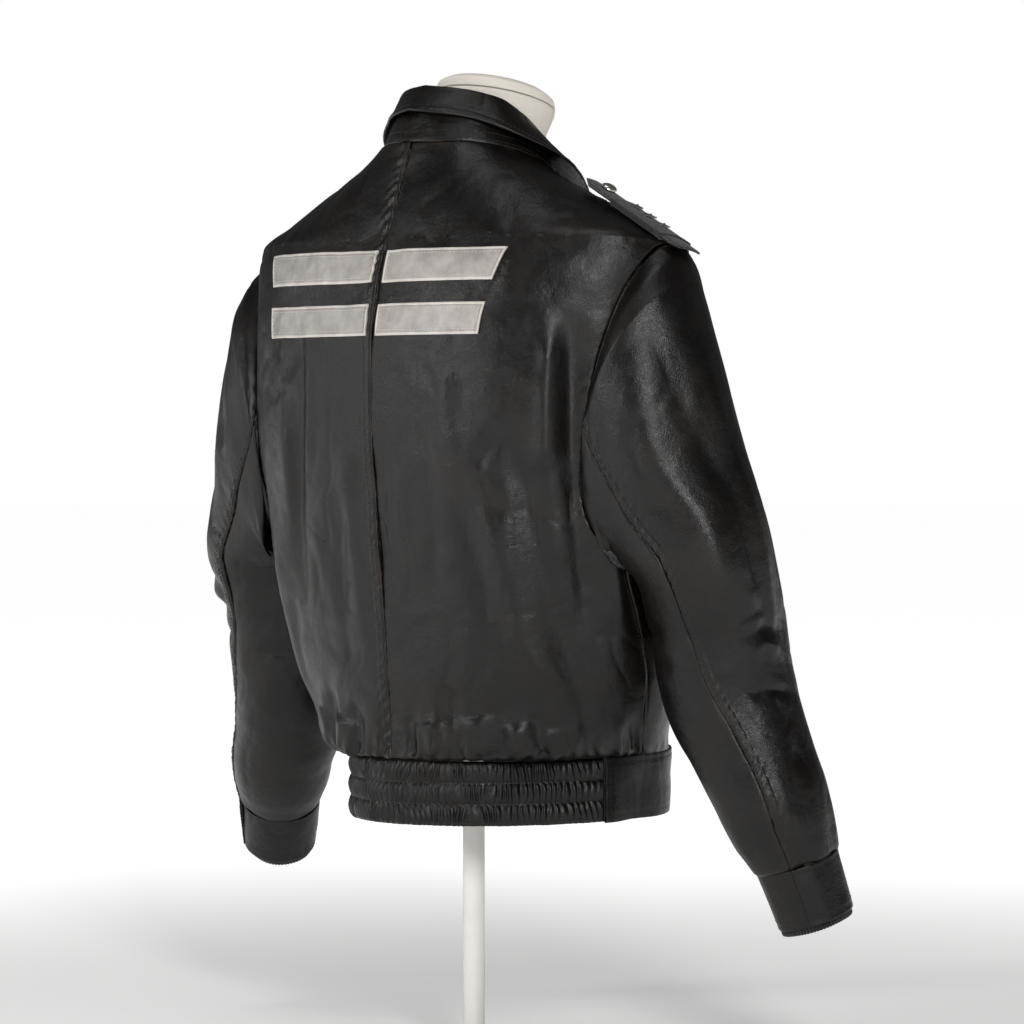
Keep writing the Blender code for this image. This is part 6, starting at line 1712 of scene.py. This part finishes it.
@dataclass
class BackBars:
    """Plain silver-grey bars laid across the back, cut in two at the centre-back seam."""

    torso: Torso
    spans: tuple = ((0.772, 0.803), (0.720, 0.750))
    first_share: float = 0.02
    last_share: dict = field(default_factory=lambda: {Side.LEFT: 0.63, Side.RIGHT: 0.51})
    thick: float = 0.0010
    rows: int = 30
    columns: int = 120
    stitch_inset: float = 0.0048
    face_inset: tuple = (0.006, 0.004)

    def build(self, side: Side, finishes: Finishes, stitching: Stitching) -> None:
        """Makes each bar on the back's own surface, a light binding with a darker face inside it."""
        for number, (low, high) in enumerate(self.spans):
            levels = np.linspace(low, high, self.rows)
            shares = np.linspace(self.first_share, self.last_share[side], self.columns)
            ends = np.array([TORSO.arc_at(self.torso.limit(level, True), level) for level in levels])[:, None]
            arcs = SEAM_GAP / 2.0 + shares * (ends - SEAM_GAP)
            grid, normals = self.torso.surface(side, arcs, levels)
            heights = np.broadcast_to(levels[:, None], arcs.shape)
            relief = self.torso.details(side, True, arcs, heights, ends - arcs)
            grid = grid + normals * relief[..., None]
            outer = grid + normals * (SEAM_GAP + self.thick)
            near = edge_distance(outer, "setb")
            outer = outer + normals * (0.00025 * np.exp(-((near - 0.0008) / 0.0007) ** 2))[..., None]
            name = "back_shape_%s_%d" % (side.word, number + 1)
            binding = closed_wall(name + "_binding", outer, grid + normals * SEAM_GAP, finishes.edging,
                                  side.value)
            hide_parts(name)
            rows, columns = slice(2, -2), slice(2, -2)
            top = outer[rows, columns] + normals[rows, columns] * 0.00012
            face = closed_wall(name + "_face", top, outer[rows, columns] - normals[rows, columns] * 0.0004,
                               finishes.reflective, side.value, rim=1)
            for border in "setb":
                points, out = offset_line(outer, normals, border, self.stitch_inset)
                stitching.run(points[3:-3], out[3:-3], side.value, 0.0004)


# Zip


@dataclass
class Zip:
    """Tapes and teeth down the centre front; the slider, its bridge and the pull tab are the solids."""

    band: Waistband
    tape_half: float = 0.0150
    tape: float = 0.0009
    chain_thick: float = 0.0019
    curve_radius: float = 0.180
    tooth_pitch: float = 0.00135
    levels: tuple = (0.905, 0.880, 0.850, 0.815, 0.770, 0.715, 0.640, 0.550, 0.450, 0.385, 0.350, 0.325)
    band_heights: tuple = (0.058, 0.031, 0.0015)
    tape_rows: int = 260
    tape_columns: int = 12
    chain_rows: int = 400
    tooth_length: float = 0.0052
    tooth_radius: float = 0.00085
    tooth_shift: float = 0.0014

    def line(self, inward: float, rows: int) -> tuple[np.ndarray, np.ndarray]:
        """Points down the centre front at a depth, with outward normals."""
        angle = np.full(len(self.levels), -RIGHT_ANGLE)
        points = TORSO.point(angle, np.array(self.levels))
        normals = TORSO.normal(angle, np.array(self.levels)) * np.array([0.0, 1.0, 1.0])
        points = points - unit(normals) * inward
        heights = np.array(self.band_heights)
        low = self.band.point(np.full(3, -RIGHT_ANGLE), np.full(3, -inward), heights)
        points = np.concatenate([points, low]) * np.array([0.0, 1.0, 1.0])
        normals = np.concatenate([unit(normals), np.tile([0.0, -1.0, 0.0], (3, 1))])
        steps = np.concatenate([[0.0], np.cumsum(np.linalg.norm(np.diff(points, axis=0), axis=1))])
        where = np.linspace(0.0, steps[-1], rows)
        read = [np.interp(where, steps, values[:, axis]) for values in (points, normals) for axis in range(3)]
        return np.stack(read[:3], axis=-1), unit(np.stack(read[3:], axis=-1))

    def build(self, finishes: Finishes) -> None:
        """Makes both tapes as woven strips and the chain as two rows of teeth that mesh."""
        depth = self.band.wall + SEAM_GAP * 2.0
        for side, (left, right) in ((Side.LEFT, (SEAM_GAP / 2.0, self.tape_half)),
                                    (Side.RIGHT, (-self.tape_half, -SEAM_GAP / 2.0))):
            points, normals = self.line(depth, self.tape_rows)
            across = np.linspace(left, right, self.tape_columns)
            hollow = -normals[:, None, :] * (across ** 2 / (2.0 * self.curve_radius))[None, :, None]
            face = points[:, None, :] + hollow + across[None, :, None] * np.array([1.0, 0.0, 0.0])
            name = "zip_tape_" + side.word
            piece = closed_wall(name + "_cloth", face, face - normals[:, None, :] * self.tape, finishes.tape)
            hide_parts(name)
        points, normals = self.line(depth - self.chain_thick / 2.0 - SEAM_GAP, self.chain_rows)
        teeth = Stitching("zip_teeth", self.tooth_pitch * 2.0, self.tooth_length, self.tooth_radius)
        for side in (1.0, -1.0):
            shift = 0.0 if side > 0.0 else self.tooth_pitch
            arcs = np.concatenate([[0.0], np.cumsum(np.linalg.norm(np.diff(points, axis=0), axis=1))])
            where = np.arange(self.tooth_pitch + shift, arcs[-1] - 0.002, self.tooth_pitch * 2.0)
            at = np.stack([np.interp(where, arcs, points[:, axis]) for axis in range(3)], axis=-1)
            out = unit(np.stack([np.interp(where, arcs, normals[:, axis]) for axis in range(3)], axis=-1))
            sideways = np.tile([1.0, 0.0, 0.0], (len(at), 1))
            teeth.centres.append(at + sideways * self.tooth_shift * 0.25 * side)
            teeth.frames.append(np.stack([sideways, out, np.cross(sideways, out)], axis=1))
        piece = teeth.build(finishes.zip_metal)
        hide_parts("zip_chain")


# Dress form, stand and fittings


@dataclass
class DressForm:
    """The limbless form: a linen-covered torso with a turned neck cap."""

    around: int = 144
    trunk: tuple = (0.330, 0.912)
    trunk_rows: int = 48
    neck: tuple = (0.914, 0.9700)
    neck_rows: int = 24
    seam_level: float = 0.9665

    def rings(self, levels: np.ndarray) -> np.ndarray:
        """Closed rings of the form's oval sections at these levels."""
        turns = np.linspace(0.0, 2.0 * math.pi, self.around, endpoint=False)
        side = np.where(np.cos(turns) >= -1e-9, 1.0, -1.0)
        angles = np.arctan2(np.sin(turns), np.abs(np.cos(turns)))
        spread = np.broadcast_to(angles, (len(levels), self.around))
        points = FORM.point(spread, np.broadcast_to(levels[:, None], spread.shape))
        points[..., 0] *= side
        return points

    def solid(self, name: str, levels: np.ndarray, node: str, rounding: float,
              finishes: Finishes) -> bpy.types.Object:
        """A closed loft through rings, its ends pulled in over a small round and closed by flat faces."""
        rings = self.rings(levels)
        caps = []
        for ring, way in ((rings[0], -1.0), (rings[-1], 1.0)):
            middle = ring.mean(axis=0)
            caps.append([middle + (ring - middle) * size for size in (1.0 - rounding, 0.86, 0.5)])
        grid = np.array(caps[0][::-1] + list(rings) + caps[1])
        rows = len(grid)
        quads = grid_quads(rows, self.around, True)
        index = np.arange(self.around // 2 - 1)
        cap = np.stack([index, index + 1, self.around - 2 - index, self.around - 1 - index], axis=-1)
        quads = np.concatenate([quads, cap[:, ::-1], cap + (rows - 1) * self.around])
        mesh = write_mesh(name, grid.reshape(-1, 3), quads)
        piece = place(name, mesh, finishes.linen)
        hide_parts(node)
        return piece

    def build(self, finishes: Finishes, stitching: Stitching) -> None:
        """The torso up to the neck seam, then the cap above a narrow groove."""
        low = np.linspace(*self.trunk, self.trunk_rows)
        neck = np.linspace(*self.neck, self.neck_rows)
        self.solid("form_torso_linen", np.concatenate([low, neck]), "form_torso", 0.02, finishes)
        cap = np.concatenate([np.linspace(0.9712, 0.980, 10), [0.9815, 0.9825, 0.983]])
        self.solid("form_neck_linen", cap, "form_neck_cap", 0.01, finishes)
        seam = self.rings(np.array([self.seam_level]))[0]
        out = unit(seam - seam.mean(axis=0))
        closed = np.concatenate([seam, seam[:1]])
        stitching.run(closed, np.concatenate([out, out[:1]]), 1, 0.0001)


class Fitting(Enum):
    """Solids that keep their own shape, with the finish that each kind takes."""

    STAR = "star_"
    BUTTON = "strap_button_"
    SLIDER = "zip_slider"
    PULL = "zip_pull"
    STAND = "stand_"


def dress_fittings(finishes: Finishes) -> None:
    """Gives every kept solid its finish, welded and split at sharp edges so that it shades smoothly."""
    split_angle = math.radians(34.0)
    for name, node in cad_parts.items():
        kinds = [kind for kind in Fitting if name.startswith(kind.value)]
        if not kinds:
            continue
        material = finishes.steel if kinds[0] is Fitting.STAND else finishes.silver
        if node.material_slots:
            for held in node.material_slots:
                held.material = material
        else:
            node.data.materials.append(material)
        node.data.shade_smooth()
        weld = node.modifiers.new("Weld", "WELD")
        weld.merge_threshold = 0.00001
        split = node.modifiers.new("Sharp edges", "EDGE_SPLIT")
        split.split_angle = split_angle
        LOG.info("%s keeps its shape", name)


# Studio


@dataclass
class Studio:
    """Floor, lights, world and the camera at the photograph's place."""

    turn: float = math.radians(42.0)
    distance: float = 4.5
    height: float = 0.618
    aside: float = 0.0382
    focal_px: float = 4500.0
    image_px: float = 1024.0
    horizon_px: float = 440.0
    sensor: float = 36.0
    floor_reach: float = 40.0
    floor_rings: int = 60
    floor_spokes: int = 96
    glow_start: float = 0.6
    glow_rise: float = 2.0
    surround: float = 0.09
    near_glow: float = 0.28
    far_glow: float = 0.90
    backdrop: float = 1.0

    def camera(self) -> None:
        """Stands behind the wearer's right and looks down a little, with the horizon above the middle."""
        sine, cosine = math.sin(self.turn), math.cos(self.turn)
        place_at = Vector((-sine * self.distance - cosine * self.aside,
                           cosine * self.distance - sine * self.aside, self.height))
        tilt = math.atan((self.image_px / 2.0 - self.horizon_px) / self.focal_px)
        look = Vector((sine * math.cos(tilt), -cosine * math.cos(tilt), -math.sin(tilt)))
        data = bpy.data.cameras.new("camera")
        data.lens = self.focal_px / self.image_px * self.sensor
        data.sensor_width = self.sensor
        data.clip_start, data.clip_end = 0.05, 60.0
        camera = bpy.data.objects.new("camera", data)
        camera.location = place_at
        camera.rotation_mode = "QUATERNION"
        camera.rotation_quaternion = look.to_track_quat("-Z", "Y")
        bpy.context.scene.collection.objects.link(camera)
        bpy.context.scene.camera = camera

    def light(self, name: str, place_at: tuple, target: tuple, size: tuple, power: float) -> None:
        """A rectangular area light that looks at a point."""
        data = bpy.data.lights.new(name, "AREA")
        data.shape = "RECTANGLE"
        data.size, data.size_y = size
        data.energy = power
        lamp = bpy.data.objects.new(name, data)
        lamp.location = place_at
        way = Vector(target) - Vector(place_at)
        lamp.rotation_mode = "QUATERNION"
        lamp.rotation_quaternion = way.to_track_quat("-Z", "Y")
        bpy.context.scene.collection.objects.link(lamp)

    def floor(self) -> None:
        """A wide pale round floor just under the stand, lit up from itself towards the horizon."""
        ring = np.linspace(0.0, 2.0 * math.pi, self.floor_spokes, endpoint=False)
        reach = np.geomspace(0.05, self.floor_reach, self.floor_rings)
        grid = np.stack([reach[:, None] * np.cos(ring), reach[:, None] * np.sin(ring),
                         0.0 * reach[:, None] + 0.0 * ring - 0.0005], axis=-1)
        quads = grid_quads(len(reach), len(ring), True)
        index = np.arange(len(ring) // 2 - 1)
        cap = np.stack([index, index + 1, len(ring) - 2 - index, len(ring) - 1 - index], axis=-1)
        mesh = write_mesh("studio_floor", grid.reshape(-1, 3), np.concatenate([quads, cap]))
        far = smooth_step((reach - self.glow_start) / self.glow_rise)
        far = np.broadcast_to(far[:, None], grid.shape[:2])
        mesh.attributes.new("far", "FLOAT", "POINT").data.foreach_set("value", far.ravel())
        g = Graph("studio_floor")
        glow = g.mix(g.attribute("far"), (self.near_glow,) * 3 + (1.0,), (self.far_glow,) * 3 + (1.0,))
        g.feed(g.shader.inputs["Emission Color"], glow)
        mesh.materials.append(g.finish(colour(250, 250, 249), 0.9, Specular_IOR_Level=0.0,
                                       Emission_Strength=1.0))
        floor = bpy.data.objects.new("studio_floor", mesh)
        bpy.context.scene.collection.objects.link(floor)

    def world(self) -> None:
        """White to the camera, and a dimmer room to the part, so that the lamps shape it."""
        world = bpy.data.worlds.new("studio")
        world.use_nodes = True
        tree = world.node_tree
        background = tree.nodes["Background"]
        background.inputs["Color"].default_value = (1.0, 1.0, 1.0, 1.0)
        path = tree.nodes.new("ShaderNodeLightPath")
        level = tree.nodes.new("ShaderNodeMapRange")
        level.inputs["To Min"].default_value = self.surround
        level.inputs["To Max"].default_value = self.backdrop
        tree.links.new(path.outputs["Is Camera Ray"], level.inputs["Value"])
        tree.links.new(level.outputs[0], background.inputs["Strength"])
        bpy.context.scene.world = world

    def build(self) -> None:
        """Sets up the studio."""
        self.camera()
        self.floor()
        self.world()
        self.light("behind", (1.7, 3.6, 1.7), (0.0, 0.1, 0.55), (0.8, 1.3), 44.0)
        self.light("by_camera", (-3.3, 2.7, 2.1), (-0.1, 0.1, 0.55), (0.7, 1.2), 98.0)
        self.light("left_edge", (3.5, 1.7, 1.3), (0.1, 0.0, 0.5), (0.5, 1.3), 11.0)
        self.light("overhead", (-0.4, 0.8, 3.4), (0.0, 0.0, 0.8), (1.4, 1.4), 16.0)
        bpy.context.scene.view_settings.view_transform = "Standard"


def main() -> None:
    """Builds the studio, the form and every piece of the jacket in order."""
    logging.basicConfig(level=logging.INFO, format="%(message)s")
    Studio().build()
    finishes = Finishes()
    stitching = Stitching("jacket_stitches")
    linen_stitches = Stitching("form_stitches")
    DressForm().build(finishes, linen_stitches)
    torso = Torso()
    bars = BackBars(torso)
    band = Waistband()
    bar_stitches = Stitching("bar_stitches")
    for side in Side:
        torso.panel(side, True, finishes, stitching)
        torso.panel(side, False, finishes, stitching)
        bars.build(side, finishes, bar_stitches)
        sleeve = Sleeve(side, torso)
        sleeve.piece(True, finishes, stitching)
        sleeve.piece(False, finishes, stitching)
        cuff = Cuff(sleeve)
        cuff.strip(finishes, stitching)
        cuff.knit(finishes)
        band.tab(side, finishes, stitching)
        strap = ShoulderStrap(side)
        strap.strap(finishes, stitching)
        strap.slide(finishes)
    band.back(finishes, stitching)
    collar = Collar(torso)
    collar.stand(finishes, stitching)
    collar.fall(finishes, stitching)
    Zip(band).build(finishes)
    stitching.build(finishes.thread)
    linen_stitches.build(finishes.linen)
    bar_stitches.build(finishes.edging)
    dress_fittings(finishes)


if __name__ == "__main__":
    main()
